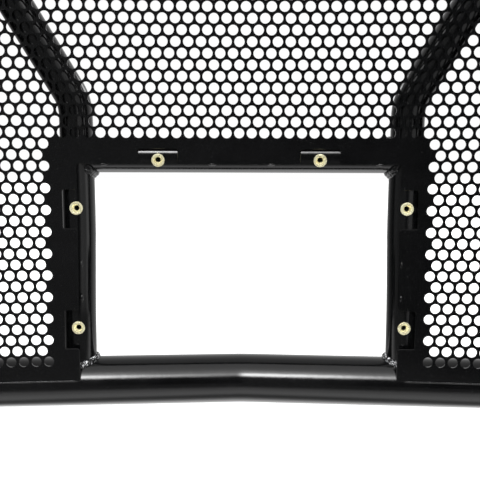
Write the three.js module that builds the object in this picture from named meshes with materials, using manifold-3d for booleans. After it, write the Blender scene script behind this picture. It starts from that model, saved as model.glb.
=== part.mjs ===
// Front grille guard for a full-size pickup truck: two cross tubes, a curved grille sheet with a
// framed window, upright plates, headlight loops and frame brackets.
// Millimetres, +Z up. The vehicle's front is -Y; the guard bulges towards -Y and bolts on from +Y.
// Left is -X and right is +X. Dimensions are measured from the point on the centre plane where the
// axes of the bottom tube's straight halves would meet. The finished group is then moved so that
// its origin is the middle of the footprint, on the level of the lowest edge.
import * as THREE from "three";
import { mergeVertices } from "three/addons/utils/BufferGeometryUtils.js";
import Module from "manifold-3d";

// ---- driving dimensions --------------------------------------------------------------------
const GAP = 0.35; // clearance kept at every joint face

const BIG_R = 25.4; // 2 in cross tubes and headlight loops
const BIG_BORE_R = BIG_R - 2.8;
const SMALL_R = 15.875; // 1.25 in posts, window rail and loop bars
const SMALL_BORE_R = SMALL_R - 2.0;

const UPRIGHT_X = 399.5; // inner face of the right upright plate
const UPRIGHT_T = 5;
const OUTER_PLATE_T = 6; // headlight-loop and bracket plates
const OUTER_PLATE_X = UPRIGHT_X + UPRIGHT_T + GAP; // inner face of those plates
const HEAD_X = OUTER_PLATE_X + OUTER_PLATE_T + GAP; // bearing face of bolt heads, loop tubes' ends
const NUT_X = UPRIGHT_X - GAP; // bearing face of washers and nuts, ends of the cross tubes

const LOOP_BOLT_Z = [95, 185, 355, 445];
const LOOP_HOLE_R = 5.4;
const BRACKET_BOLTS = [[120, 34], [120, -52]]; // [y, z]
const BRACKET_HOLE_R = 6.5;

// ---- materials -----------------------------------------------------------------------------
const standard = (color, roughness, metalness) =>
  new THREE.MeshStandardMaterial({ color, roughness, metalness });
const MATERIALS = {
  // colour, roughness, metalness
  gloss: standard(0x0b0b0c, 0.28, 0.0),
  zinc: standard(0xd8c98a, 0.35, 1.0),
  rubber: standard(0x141414, 0.85, 0.0),
  bolt: standard(0x2a2a2c, 0.5, 0.6),
};

// ---- solids and meshes ---------------------------------------------------------------------
const wasm = await Module();
wasm.setup();
const group = new THREE.Group();

function solid(geometry) {
  const bare = geometry.clone();
  bare.deleteAttribute("normal");
  bare.deleteAttribute("uv");
  const merged = mergeVertices(bare, 1e-4);
  return new wasm.Manifold(new wasm.Mesh({
    numProp: 3,
    vertProperties: new Float32Array(merged.attributes.position.array),
    triVerts: new Uint32Array(merged.index.array),
  }));
}

function geometryOf(manifold) {
  const mesh = manifold.getMesh();
  const geometry = new THREE.BufferGeometry();
  const positions = new Float32Array(mesh.vertProperties);
  geometry.setAttribute("position", new THREE.BufferAttribute(positions, 3));
  geometry.setIndex(new THREE.BufferAttribute(new Uint32Array(mesh.triVerts), 1));
  geometry.computeVertexNormals();
  return geometry;
}

const largestPart = (manifold) =>
  manifold.decompose().sort((a, b) => b.volume() - a.volume())[0];

// The same shape on the other side of the centre plane, with its faces still pointing out.
function mirrored(geometry) {
  const result = geometry.index ? geometry.toNonIndexed() : geometry.clone();
  result.deleteAttribute("uv");
  result.deleteAttribute("normal");
  const pos = result.attributes.position;
  for (let i = 0; i < pos.count; i++) pos.setX(i, -pos.getX(i));
  for (let i = 0; i < pos.count; i += 3) {
    const [x, y, z] = [pos.getX(i), pos.getY(i), pos.getZ(i)];
    pos.setXYZ(i, pos.getX(i + 1), pos.getY(i + 1), pos.getZ(i + 1));
    pos.setXYZ(i + 1, x, y, z);
  }
  result.computeVertexNormals();
  return result;
}

function add(name, geometry, material) {
  const mesh = new THREE.Mesh(geometry, material);
  mesh.name = name;
  group.add(mesh);
}

// Adds a right-hand piece and its mirror image.
function addPair(name, geometry, material) {
  add(`right_${name}`, geometry, material);
  add(`left_${name}`, mirrored(geometry), material);
}

// A block from x0 to x1 that is larger than the guard in Y and Z, for trimming tube ends.
function trimBlock(x0, x1) {
  const [y0, y1, z0, z1] = [-400, 600, -400, 900];
  return solid(new THREE.BoxGeometry(x1 - x0, y1 - y0, z1 - z0)
    .translate((x0 + x1) / 2, (y0 + y1) / 2, (z0 + z1) / 2));
}

// ---- flat outlines -------------------------------------------------------------------------
const vec2 = (x, y) => new THREE.Vector2(x, y);
const vec3 = (x, y, z) => new THREE.Vector3(x, y, z);

// A polygon whose first corner is half a step round from the first axis.
function circlePoints(radius, sides) {
  return Array.from({ length: sides }, (_, i) => {
    const angle = (2 * Math.PI * (i + 0.5)) / sides;
    return vec2(radius * Math.cos(angle), radius * Math.sin(angle));
  });
}

const HOLE_SIDES = 10;
const hole = (u, v, radius) =>
  new THREE.Path(circlePoints(radius, HOLE_SIDES).map((p) => vec2(p.x + u, p.y + v)));

// A closed outline. The first row is the start. Each later row is a line (2 numbers), a quadratic
// curve (4) or a cubic curve (6), with its control points first and its end point last.
function outline([start, ...rows]) {
  const shape = new THREE.Shape();
  shape.moveTo(...start);
  for (const row of rows) {
    if (row.length === 2) shape.lineTo(...row);
    else if (row.length === 4) shape.quadraticCurveTo(...row);
    else shape.bezierCurveTo(...row);
  }
  shape.closePath();
  return shape;
}

const extrude = (shape, depth) =>
  new THREE.ExtrudeGeometry(shape, { depth, bevelEnabled: false, curveSegments: 6 });

// A plate drawn in the Y-Z plane and extruded along +X from x0.
function plateYZ(shape, x0, thickness) {
  // (u, v, w) becomes (x, y, z) = (x0 + w, u, v)
  return extrude(shape, thickness)
    .applyMatrix4(new THREE.Matrix4().set(0, 0, 1, x0, 1, 0, 0, 0, 0, 1, 0, 0, 0, 0, 0, 1));
}

// ---- swept tubes ---------------------------------------------------------------------------
// A path that is sampled only at its given stations, so straight runs cost one segment.
class StationPath extends THREE.Curve {
  constructor(points) {
    super();
    this.points = points;
  }
  index(u) {
    return Math.round(u * (this.points.length - 1));
  }
  getPointAt(u, target = vec3()) {
    return target.copy(this.points[this.index(u)]);
  }
  // The mean of the directions of the segments before and after the station.
  getTangentAt(u, target = vec3()) {
    const i = this.index(u);
    const points = this.points;
    const before = vec3();
    const after = vec3();
    if (i > 0) before.subVectors(points[i], points[i - 1]).normalize();
    if (i < points.length - 1) after.subVectors(points[i + 1], points[i]).normalize();
    return target.addVectors(before, after).normalize();
  }
}

// A bore radius of 0 makes a solid bar.
function sweptTube(points, radius, boreR = 0, sides = 16, boreSides = 8) {
  const shape = new THREE.Shape(circlePoints(radius, sides));
  if (boreR > 0) shape.holes.push(new THREE.Path(circlePoints(boreR, boreSides)));
  const extrudePath = new StationPath(points);
  return new THREE.ExtrudeGeometry(shape, { steps: points.length - 1, extrudePath });
}

// Moves a path's first point outwards, so the tube's end can be trimmed flush.
function extendStart(path) {
  const EXTRA = 6;
  const start = path[0].clone().sub(path[1]).normalize().multiplyScalar(EXTRA).add(path[0]);
  return [start, ...path.slice(1)];
}

// ---- the curved face that the sheet, posts, rail and top tube share ------------------------
// Places on it are given as a distance across from the centre plane and a distance up.
const SHEET_Y = 31.5; // front face of the sheet at the centre plane
const PLAN_R = 2122; // in plan the face is an arc in the middle, then straight
const PLAN_ARC = 226; // the arc reaches this far to each side
const LEAN = 0.0956; // upright below, leaning back by this angle above a short bend
const LEAN_START = 150;
const LEAN_ARC = 64;
const LEAN_END = LEAN_START + LEAN_ARC;

function plan(across) {
  if (Math.abs(across) <= PLAN_ARC) {
    const angle = across / PLAN_R;
    return { x: PLAN_R * Math.sin(angle), y: PLAN_R * (1 - Math.cos(angle)), angle };
  }
  const sign = Math.sign(across);
  const end = PLAN_ARC / PLAN_R;
  const more = Math.abs(across) - PLAN_ARC;
  return {
    x: sign * (PLAN_R * Math.sin(end) + more * Math.cos(end)),
    y: PLAN_R * (1 - Math.cos(end)) + more * Math.sin(end),
    angle: sign * end,
  };
}

function lean(up) {
  if (up <= LEAN_START) return { y: 0, z: up, angle: 0 };
  const radius = LEAN_ARC / LEAN;
  const angle = up <= LEAN_END ? (up - LEAN_START) / radius : LEAN;
  const more = Math.max(0, up - LEAN_END);
  return {
    y: radius * (1 - Math.cos(angle)) + more * Math.sin(angle),
    z: LEAN_START + radius * Math.sin(angle) + more * Math.cos(angle),
    angle,
  };
}

// A point at a distance behind (+) or in front (-) of the sheet's front face.
function face(across, up, behind) {
  const p = plan(across);
  const l = lean(up);
  const normal = vec3(
    -Math.sin(p.angle) * Math.cos(l.angle),
    Math.cos(p.angle) * Math.cos(l.angle),
    -Math.cos(p.angle) * Math.sin(l.angle),
  );
  return vec3(p.x, SHEET_Y + p.y + l.y, l.z).addScaledVector(normal, behind);
}

// A point on the axis of a tube whose back lies just in front of the sheet.
const TUBE_MARGIN = 0.05; // beyond the joint clearance
const tubeAxis = (across, up, radius) => face(across, up, -(radius + GAP + TUBE_MARGIN));

// ---- cross tubes ---------------------------------------------------------------------------
const V_ANGLE = THREE.MathUtils.degToRad(4.5); // each half of the bottom tube sweeps back
const V_BEND_R = 100; // centreline radius of its centre bend
const V_HALF_STEPS = 2;
const BOTTOM_REACH = 405; // centre to end along each half, before trimming
const BOTTOM_SIDES = 20;
const BOTTOM_BORE_SIDES = 10;
const TOP_UP = 547; // top cross tube's axis, up the face
const TOP_REACH = 404; // before trimming

function bottomStations() {
  const endX = BOTTOM_REACH * Math.cos(V_ANGLE);
  const endY = BOTTOM_REACH * Math.sin(V_ANGLE);
  const bendY = V_BEND_R / Math.cos(V_ANGLE);
  const points = [vec3(-endX, endY, 0)];
  for (let k = -V_HALF_STEPS; k <= V_HALF_STEPS; k++) {
    const angle = (V_ANGLE * k) / V_HALF_STEPS;
    points.push(vec3(V_BEND_R * Math.sin(angle), bendY - V_BEND_R * Math.cos(angle), 0));
  }
  points.push(vec3(endX, endY, 0));
  return points;
}
const bottomPath = bottomStations();
const topPath = [-TOP_REACH, -PLAN_ARC, -PLAN_ARC / 2, 0, PLAN_ARC / 2, PLAN_ARC, TOP_REACH]
  .map((across) => tubeAxis(across, TOP_UP, BIG_R));

function addCrossTubes() {
  const beyondPlates = trimBlock(NUT_X, 600).add(trimBlock(-600, -NUT_X));
  const bottom = sweptTube(bottomPath, BIG_R, BIG_BORE_R, BOTTOM_SIDES, BOTTOM_BORE_SIDES);
  const top = sweptTube(topPath, BIG_R, BIG_BORE_R);
  const trimmed = (tube) => geometryOf(solid(tube).subtract(beyondPlates));
  add("bottom_cross_tube", trimmed(bottom), MATERIALS.gloss);
  add("top_cross_tube", trimmed(top), MATERIALS.gloss);
}
addCrossTubes();

// ---- rivet nut shape and places ------------------------------------------------------------
const NUT_BODY_R = 4.5;
const NUT_BORE_R = 2.55;
const NUT_FLANGE_R = 6.7;
const NUT_FLANGE_T = 1.4;
const NUT_BULGE_R = 6.1;
const NUT_MOUTH_R = 4.3;
const NUT_DEPTH = 13; // body below the flange
const NUT_SIDES = 12;
const NUT_HOLE_CUT = 14; // length of the cutter, centred on the tube's surface

// A nut's frame on a small tube: +Z points out of the tube's back, turned in plan, tilted down.
function nutFrame(axisPoint, turn, tilt) {
  const normal = vec3(
    -Math.sin(turn) * Math.cos(tilt),
    Math.cos(turn) * Math.cos(tilt),
    -Math.sin(tilt),
  );
  const seat = axisPoint.addScaledVector(normal, SMALL_R + GAP);
  const rotation = new THREE.Quaternion().setFromUnitVectors(vec3(0, 0, 1), normal);
  return new THREE.Matrix4().compose(seat, rotation, vec3(1, 1, 1));
}

function nutHole(frame) {
  const radius = NUT_BODY_R + GAP;
  return solid(new THREE.CylinderGeometry(radius, radius, NUT_HOLE_CUT, NUT_SIDES)
    .rotateX(Math.PI / 2)
    .applyMatrix4(frame));
}

function rivetNut() {
  const profile = [ // radius, height above the flange's seat
    [NUT_BORE_R, -NUT_DEPTH], [NUT_BODY_R, -NUT_DEPTH], [NUT_BODY_R, -9.8],
    [NUT_BULGE_R, -7.2], [NUT_BODY_R, -4.8], [NUT_BODY_R, 0],
    [NUT_FLANGE_R, 0], [NUT_FLANGE_R, NUT_FLANGE_T], [NUT_MOUTH_R, NUT_FLANGE_T],
    [NUT_BORE_R, -1.2], [NUT_BORE_R, -NUT_DEPTH],
  ].map(([radius, height]) => vec2(radius, height));
  return geometryOf(solid(new THREE.LatheGeometry(profile, NUT_SIDES).rotateX(Math.PI / 2)));
}

// ---- post tubes ----------------------------------------------------------------------------
const POST_ACROSS = 167.3; // centreline beside the window
const POST_FOOT = 15;
const POST_BEND_START = 281;
const POST_BEND_R = 48;
const POST_BEND = THREE.MathUtils.degToRad(30); // the posts splay outwards above the bend
const POST_BEND_STEPS = 4;
const POST_UPPER = [400, TOP_UP - 5]; // heights of the stations on the splayed part
const SIDE_NUT_UP = [64.1, 187.4];

function postStations() {
  const stations = [POST_FOOT, LEAN_START, LEAN_START + LEAN_ARC / 2, LEAN_END]
    .map((up) => [POST_ACROSS, up]);
  for (let k = 0; k <= POST_BEND_STEPS; k++) {
    const angle = (POST_BEND * k) / POST_BEND_STEPS;
    stations.push([
      POST_ACROSS + POST_BEND_R * (1 - Math.cos(angle)),
      POST_BEND_START + POST_BEND_R * Math.sin(angle),
    ]);
  }
  const [bendAcross, bendUp] = stations.at(-1);
  for (const up of POST_UPPER) {
    stations.push([bendAcross + (up - bendUp) * Math.tan(POST_BEND), up]);
  }
  return stations;
}
const postPath = postStations().map(([across, up]) => tubeAxis(across, up, SMALL_R));
const sideNutFrames = SIDE_NUT_UP.map((up) =>
  nutFrame(tubeAxis(POST_ACROSS, up, SMALL_R), 0, lean(up).angle));

function postTube() {
  let post = solid(sweptTube(postPath, SMALL_R, SMALL_BORE_R))
    .subtract(solid(sweptTube(bottomPath, BIG_R + GAP, 0, BOTTOM_SIDES)))
    .subtract(solid(sweptTube(topPath, BIG_R + GAP)));
  for (const frame of sideNutFrames) post = post.subtract(nutHole(frame));
  return geometryOf(post);
}
addPair("post_tube", postTube(), MATERIALS.gloss);

// ---- window top rail -----------------------------------------------------------------------
const RAIL_UP = 239.2; // its axis, up the face
const RAIL_REACH = 168; // before the posts trim it
const TOP_NUT_ACROSS = 82.3;
const TOP_NUT_DROP = 4.2; // below the rail's axis, at the tube's surface

const topNutFrame = nutFrame(
  tubeAxis(TOP_NUT_ACROSS, RAIL_UP, SMALL_R),
  plan(TOP_NUT_ACROSS).angle,
  Math.asin(TOP_NUT_DROP / SMALL_R),
);

function windowRail() {
  const path = [-RAIL_REACH, -RAIL_REACH / 2, 0, RAIL_REACH / 2, RAIL_REACH]
    .map((across) => tubeAxis(across, RAIL_UP, SMALL_R));
  const postCutter = sweptTube(postPath, SMALL_R + GAP);
  const nutCutter = nutHole(topNutFrame);
  const rail = solid(sweptTube(path, SMALL_R, SMALL_BORE_R))
    .subtract(solid(postCutter))
    .subtract(solid(mirrored(postCutter)))
    .subtract(nutCutter)
    .subtract(solid(mirrored(geometryOf(nutCutter))));
  return geometryOf(largestPart(rail)); // the span between the posts
}
add("window_top_rail", windowRail(), MATERIALS.gloss);

// ---- rivet nuts ----------------------------------------------------------------------------
function addRivetNuts() {
  const nut = rivetNut();
  const places = [["lower", sideNutFrames[0]], ["upper", sideNutFrames[1]], ["top", topNutFrame]];
  for (const [where, frame] of places) {
    addPair(`${where}_rivet_nut`, nut.clone().applyMatrix4(frame), MATERIALS.zinc);
  }
}
addRivetNuts();

// ---- grille sheet --------------------------------------------------------------------------
const SHEET_T = 2.0;
const SHEET_BOTTOM = 8;
const SHEET_TOP = 540;
const SHEET_SIDE = 400;
const WINDOW_SIDE = 164.5; // half width of the cut-out, which is open at the bottom
const WINDOW_TOP = 232.4;
const SIDE_NOTCHES = [[42, 82], [166.5, 206.5]]; // from and to, up the face
const SIDE_NOTCH_END = 181; // how far across the side notches reach
const TOP_NOTCH = [62.5, 102.5]; // from and to, across the face
const TOP_NOTCH_END = 245.7; // how far up the top notches reach

const between = (value, [low, high]) => value > low && value < high;

function inSheet(across, up) {
  if (across < WINDOW_SIDE && up < WINDOW_TOP) return false;
  if (between(up, [WINDOW_TOP, TOP_NOTCH_END]) && between(across, TOP_NOTCH)) return false;
  return !(between(across, [WINDOW_SIDE, SIDE_NOTCH_END])
    && SIDE_NOTCHES.some((notch) => between(up, notch)));
}

// Cells between grid lines, skinned front and back and walled wherever a neighbour is missing.
function grilleSheet() {
  const half = [
    31, ...TOP_NOTCH, 133, WINDOW_SIDE, SIDE_NOTCH_END, 203, PLAN_ARC, 312, SHEET_SIDE,
  ];
  const columns = [...half.map((across) => -across).reverse(), 0, ...half];
  const rows = [
    SHEET_BOTTOM, ...SIDE_NOTCHES[0], LEAN_START, SIDE_NOTCHES[1][0], LEAN_START + LEAN_ARC / 2,
    SIDE_NOTCHES[1][1], LEAN_END, WINDOW_TOP, TOP_NOTCH_END, 340, 440, SHEET_TOP,
  ];
  const kept = (i, j) => {
    if (i < 0 || j < 0 || i >= columns.length - 1 || j >= rows.length - 1) return false;
    return inSheet(Math.abs((columns[i] + columns[i + 1]) / 2), (rows[j] + rows[j + 1]) / 2);
  };
  const positions = [];
  const quad = (a, b, c, d) => {
    for (const v of [a, b, c, a, c, d]) positions.push(v.x, v.y, v.z);
  };
  for (let i = 0; i < columns.length - 1; i++) {
    for (let j = 0; j < rows.length - 1; j++) {
      if (!kept(i, j)) continue;
      // Corners in turn: lower left, lower right, upper right, upper left.
      const corners = [[i, j], [i + 1, j], [i + 1, j + 1], [i, j + 1]];
      const front = corners.map(([m, n]) => face(columns[m], rows[n], 0));
      const back = corners.map(([m, n]) => face(columns[m], rows[n], SHEET_T));
      quad(...front);
      quad(back[0], back[3], back[2], back[1]);
      if (!kept(i - 1, j)) quad(front[0], front[3], back[3], back[0]);
      if (!kept(i + 1, j)) quad(front[1], back[1], back[2], front[2]);
      if (!kept(i, j - 1)) quad(front[0], back[0], back[1], front[1]);
      if (!kept(i, j + 1)) quad(front[3], front[2], back[2], back[3]);
    }
  }
  const geometry = new THREE.BufferGeometry();
  geometry.setAttribute("position", new THREE.Float32BufferAttribute(positions, 3));
  geometry.computeVertexNormals();
  return geometry;
}
add("grille_sheet", grilleSheet(), MATERIALS.gloss);

// ---- upright plates ------------------------------------------------------------------------
const LOOP_PLATE_Y = 34; // middle of the loop plate below the lean
const loopPlateY = (z) => LOOP_PLATE_Y + lean(z).y;
const loopBoltHoles = () => LOOP_BOLT_Z.map((z) => hole(loopPlateY(z), z, LOOP_HOLE_R));
const bracketBoltHoles = () => BRACKET_BOLTS.map(([y, z]) => hole(y, z, BRACKET_HOLE_R));

const frontEdge = new THREE.CubicBezierCurve(
  vec2(-10, -40), vec2(-40, 150), vec2(-10, 400), vec2(40, 586),
);
const FRONT_EDGE_STEPS = 9;

function uprightPlate() {
  const shape = outline([ // y, z
    [26, -88],
    [-4, -82, -10, -40],
    ...frontEdge.getPoints(FRONT_EDGE_STEPS).slice(1).map((p) => p.toArray()),
    [50, 616, 80, 616],
    [112, 614, 112, 584],
    [100, 430, 78, 300, 74, 170],
    [74, 110, 82, 70, 112, 64],
    [140, 64],
    [152, 64, 152, 52],
    [152, -72],
    [152, -88, 136, -88],
  ]);
  shape.holes.push(...loopBoltHoles(), ...bracketBoltHoles());
  return plateYZ(shape, UPRIGHT_X, UPRIGHT_T);
}
addPair("upright", uprightPlate(), MATERIALS.gloss);

// ---- rubber strips on the uprights' front edges --------------------------------------------
const STRIP_START = 0.06; // where the strip starts, as a fraction of the edge
const STRIP_SPAN = 0.88;
const STRIP_STEPS = 12;
const STRIP_HALF_WIDTH = 9; // to each side of the edge
const STRIP_LIP = 5.5; // rubber on each side of the plate
const SLOT_BACK_Y = 120;

// A point on the front edge, moved forwards (towards -Y) at right angles to it.
function beforeEdge(u, distance) {
  const tangent = frontEdge.getTangent(u);
  return frontEdge.getPoint(u).addScaledVector(vec2(-tangent.y, tangent.x), distance);
}

function rubberStrip() {
  const fractions = Array.from({ length: STRIP_STEPS + 1 }, (_, k) => k / STRIP_STEPS);
  const side = (distance) =>
    fractions.map((f) => beforeEdge(STRIP_START + STRIP_SPAN * f, distance));
  const body = new THREE.Shape([...side(STRIP_HALF_WIDTH), ...side(-STRIP_HALF_WIDTH).reverse()]);
  const slot = new THREE.Shape([
    ...fractions.map((f) => beforeEdge(f, GAP)),
    vec2(SLOT_BACK_Y, frontEdge.v3.y),
    vec2(SLOT_BACK_Y, frontEdge.v0.y),
  ]);
  return geometryOf(solid(plateYZ(body, UPRIGHT_X - STRIP_LIP, UPRIGHT_T + 2 * STRIP_LIP))
    .subtract(solid(plateYZ(slot, UPRIGHT_X - GAP, UPRIGHT_T + 2 * GAP))));
}
addPair("rubber_strip", rubberStrip(), MATERIALS.rubber);

// ---- headlight loops -----------------------------------------------------------------------
const LOOP_PLATE_Z = [14, 120, 220, 330, 430, 532]; // stations up the plate's edges
const LOOP_PLATE_HALF = 30;
const WRAP_START = 0.12; // the loop's angle back from the X axis at the plate
const WRAP_RATE = 0.00115; // radians more for each millimetre outwards
const WRAP_STEPS = 24;
const LOOP_CORNERS = [[0, 498], [502, 468], [472, 80], [0, 48]]; // outward reach, z
const LOOP_CORNER_R = 95;
const LOOP_CORNER_STEPS = 5;
const LOOP_SPACING = 110; // nominal distance between stations on the straight sides
const BAR_Z = 270;
const BAR_REACH = [0, 130, 260, 370, 486];
const BAR_SIDES = 14;

function loopPlate() {
  const edge = (offset) => LOOP_PLATE_Z.map((z) => [loopPlateY(z) + offset, z]);
  const shape = outline([...edge(-LOOP_PLATE_HALF), ...edge(LOOP_PLATE_HALF).reverse()]);
  shape.holes.push(...loopBoltHoles());
  return plateYZ(shape, OUTER_PLATE_X, OUTER_PLATE_T);
}
addPair("loop_plate", loopPlate(), MATERIALS.gloss);

// A point on the surface the loop lies on, which wraps back round the headlight.
function wrapped(reach, z) {
  let x = HEAD_X;
  let y = loopPlateY(z);
  const step = reach / WRAP_STEPS;
  for (let k = 0; k < WRAP_STEPS; k++) {
    const angle = WRAP_START + WRAP_RATE * (k + 0.5) * step;
    x += step * Math.cos(angle);
    y += step * Math.sin(angle);
  }
  return vec3(x, y, z);
}

// An open path whose inner corners are replaced by arcs.
function roundedPath(corners, radius, steps) {
  const path = [corners[0]];
  for (let i = 1; i < corners.length - 1; i++) {
    const corner = vec2(...corners[i]);
    const back = vec2(...corners[i - 1]).sub(corner).normalize();
    const ahead = vec2(...corners[i + 1]).sub(corner).normalize();
    const half = Math.acos(back.dot(ahead)) / 2;
    const run = radius / Math.tan(half);
    const inward = back.clone().add(ahead).normalize();
    const centre = corner.clone().addScaledVector(inward, radius / Math.sin(half));
    const from = corner.clone().addScaledVector(back, run).sub(centre);
    const to = corner.clone().addScaledVector(ahead, run).sub(centre);
    const start = Math.atan2(from.y, from.x);
    let turn = Math.atan2(to.y, to.x) - start;
    if (turn > Math.PI) turn -= 2 * Math.PI;
    if (turn < -Math.PI) turn += 2 * Math.PI;
    for (let k = 0; k <= steps; k++) {
      const angle = start + (turn * k) / steps;
      path.push([centre.x + radius * Math.cos(angle), centre.y + radius * Math.sin(angle)]);
    }
  }
  path.push(corners.at(-1));
  return path;
}

// Splits each side into equal parts of about the given spacing.
function subdivided(path, spacing) {
  const result = [path[0]];
  for (let i = 1; i < path.length; i++) {
    const [u0, v0] = path[i - 1];
    const [u1, v1] = path[i];
    const parts = Math.max(1, Math.round(Math.hypot(u1 - u0, v1 - v0) / spacing));
    for (let k = 1; k < parts; k++) {
      result.push([u0 + ((u1 - u0) * k) / parts, v0 + ((v1 - v0) * k) / parts]);
    }
    result.push(path[i]);
  }
  return result;
}

function addLoopTubes() {
  const flatLoop = roundedPath(LOOP_CORNERS, LOOP_CORNER_R, LOOP_CORNER_STEPS);
  const onWrap = subdivided(flatLoop, LOOP_SPACING).map(([reach, z]) => wrapped(reach, z));
  const path = extendStart(extendStart(onWrap).reverse()); // both ends extended
  const inside = trimBlock(0, HEAD_X);
  const loop = solid(sweptTube(path, BIG_R, BIG_BORE_R)).subtract(inside);
  addPair("headlight_loop", geometryOf(loop), MATERIALS.gloss);

  const barPath = extendStart(BAR_REACH.map((reach) => wrapped(reach, BAR_Z)));
  const bar = solid(sweptTube(barPath, SMALL_R, SMALL_BORE_R, BAR_SIDES))
    .subtract(inside)
    .subtract(solid(sweptTube(path, BIG_R + GAP)));
  addPair("loop_bar", geometryOf(largestPart(bar)), MATERIALS.gloss);
}
addLoopTubes();

// ---- frame brackets: a side plate, a rear flange and a gusset in their corner --------------
const BRACKET_FRONT = 94;
const BRACKET_BACK = 252;
const BRACKET_BOTTOM = -82;
const BRACKET_TOP = 58;
const FLANGE_WIDTH = 72;
const FLANGE_CORNER = 12;
const FLANGE_HOLE_X = [24, 54]; // from the side plate's inner face
const FLANGE_HOLE_Z = [-56, 32];
const GUSSET_T = 5;
const GUSSET_Z = -14; // its lower face

function bracketSide() {
  const shape = outline([ // y, z
    [BRACKET_FRONT, -56],
    [BRACKET_FRONT, BRACKET_BOTTOM, 120, BRACKET_BOTTOM],
    [BRACKET_BACK, BRACKET_BOTTOM],
    [BRACKET_BACK, BRACKET_TOP],
    [112, BRACKET_TOP],
    [BRACKET_FRONT, BRACKET_TOP, BRACKET_FRONT, 40],
  ]);
  shape.holes.push(...bracketBoltHoles());
  return plateYZ(shape, OUTER_PLATE_X, OUTER_PLATE_T);
}

function bracketFlange() {
  const side = OUTER_PLATE_X + FLANGE_WIDTH;
  const shape = outline([ // x, z
    [OUTER_PLATE_X, BRACKET_BOTTOM],
    [side - FLANGE_CORNER, BRACKET_BOTTOM],
    [side, BRACKET_BOTTOM, side, BRACKET_BOTTOM + FLANGE_CORNER],
    [side, BRACKET_TOP - FLANGE_CORNER],
    [side, BRACKET_TOP, side - FLANGE_CORNER, BRACKET_TOP],
    [OUTER_PLATE_X, BRACKET_TOP],
  ]);
  for (const x of FLANGE_HOLE_X) {
    for (const z of FLANGE_HOLE_Z) shape.holes.push(hole(OUTER_PLATE_X + x, z, BRACKET_HOLE_R));
  }
  // (u, v, w) becomes (x, y, z) = (u, BRACKET_BACK - w, v)
  return extrude(shape, OUTER_PLATE_T).applyMatrix4(
    new THREE.Matrix4().set(1, 0, 0, 0, 0, 0, -1, BRACKET_BACK, 0, 1, 0, 0, 0, 0, 0, 1));
}

function bracketGusset() {
  const points = [ // outwards from the side plate's inner face, forwards from the flange's back
    [1, 1], [1, 56], [7, 56], [62, 7], [62, 1],
  ].map(([out, forward]) => vec2(OUTER_PLATE_X + out, BRACKET_BACK - forward));
  return extrude(new THREE.Shape(points), GUSSET_T).translate(0, 0, GUSSET_Z);
}

function frameBracket() {
  return geometryOf(solid(bracketSide()).add(solid(bracketFlange())).add(solid(bracketGusset())));
}
addPair("frame_bracket", frameBracket(), MATERIALS.gloss);

// ---- fasteners: head on the outside, nut or washer on the inside of each plate stack --------
const LOOP_FASTENER = {
  diameter: 10, flats: 16, headT: 6.4, length: 26, nutBoreR: 5.35, nutT: 8,
};
const BRACKET_FASTENER = {
  diameter: 12, flats: 18, headT: 7.5, length: 30, nutBoreR: 6.4, nutT: 10,
};
const WASHER = { radius: 12, sides: 16, boreR: 6.4, thickness: 2.5 };
const SHANK_SIDES = 10;
const SHANK_OVERLAP = 1; // the shank starts this far inside the head

// A bolt along -X: its head's bearing face is at x = 0 and its shank runs to x = -length.
function hexBolt({ diameter, flats, headT, length }) {
  const headR = flats / Math.sqrt(3);
  const shankR = diameter / 2;
  const shankLength = length + SHANK_OVERLAP;
  const head = new THREE.CylinderGeometry(headR, headR, headT, 6)
    .rotateZ(Math.PI / 2)
    .translate(headT / 2, 0, 0);
  const shank = new THREE.CylinderGeometry(shankR, shankR, shankLength, SHANK_SIDES)
    .rotateZ(Math.PI / 2)
    .translate(SHANK_OVERLAP - shankLength / 2, 0, 0);
  return geometryOf(solid(head).add(solid(shank)));
}

// A flat ring from x = 0 to x = -thickness.
function ring(points, boreR, thickness) {
  const shape = new THREE.Shape(points);
  shape.holes.push(hole(0, 0, boreR));
  return extrude(shape, thickness).rotateY(-Math.PI / 2);
}

function hexNut({ flats, nutBoreR, nutT }) {
  const radius = flats / Math.sqrt(3);
  const points = [0, 1, 2, 3, 4, 5].map((k) =>
    vec2(radius * Math.cos((k * Math.PI) / 3), radius * Math.sin((k * Math.PI) / 3)));
  return ring(points, nutBoreR, nutT);
}

function addLoopFasteners() {
  LOOP_BOLT_Z.forEach((z, i) => {
    const y = loopPlateY(z);
    const bolt = hexBolt(LOOP_FASTENER).translate(HEAD_X, y, z);
    const nut = hexNut(LOOP_FASTENER).translate(NUT_X, y, z);
    addPair(`loop_bolt_${i + 1}`, bolt, MATERIALS.bolt);
    addPair(`loop_nut_${i + 1}`, nut, MATERIALS.bolt);
  });
}
addLoopFasteners();

function addBracketFasteners() {
  const { radius, sides, boreR, thickness } = WASHER;
  BRACKET_BOLTS.forEach(([y, z], i) => {
    const bolt = hexBolt(BRACKET_FASTENER).translate(HEAD_X, y, z);
    const washer = ring(circlePoints(radius, sides), boreR, thickness).translate(NUT_X, y, z);
    const nut = hexNut(BRACKET_FASTENER).translate(NUT_X - thickness - GAP, y, z);
    addPair(`bracket_bolt_${i + 1}`, bolt, MATERIALS.bolt);
    addPair(`bracket_washer_${i + 1}`, washer, MATERIALS.bolt);
    addPair(`bracket_nut_${i + 1}`, nut, MATERIALS.bolt);
  });
}
addBracketFasteners();

// ---- origin --------------------------------------------------------------------------------
const extent = new THREE.Box3().setFromObject(group);
const middle = extent.getCenter(vec3());
group.position.set(-middle.x, -middle.y, -extent.min.z);

export default group;
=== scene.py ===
import math
from contextlib import contextmanager

import bpy
import bmesh
import numpy as np
from mathutils import Matrix, Vector
from mathutils.geometry import delaunay_2d_cdt


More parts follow.
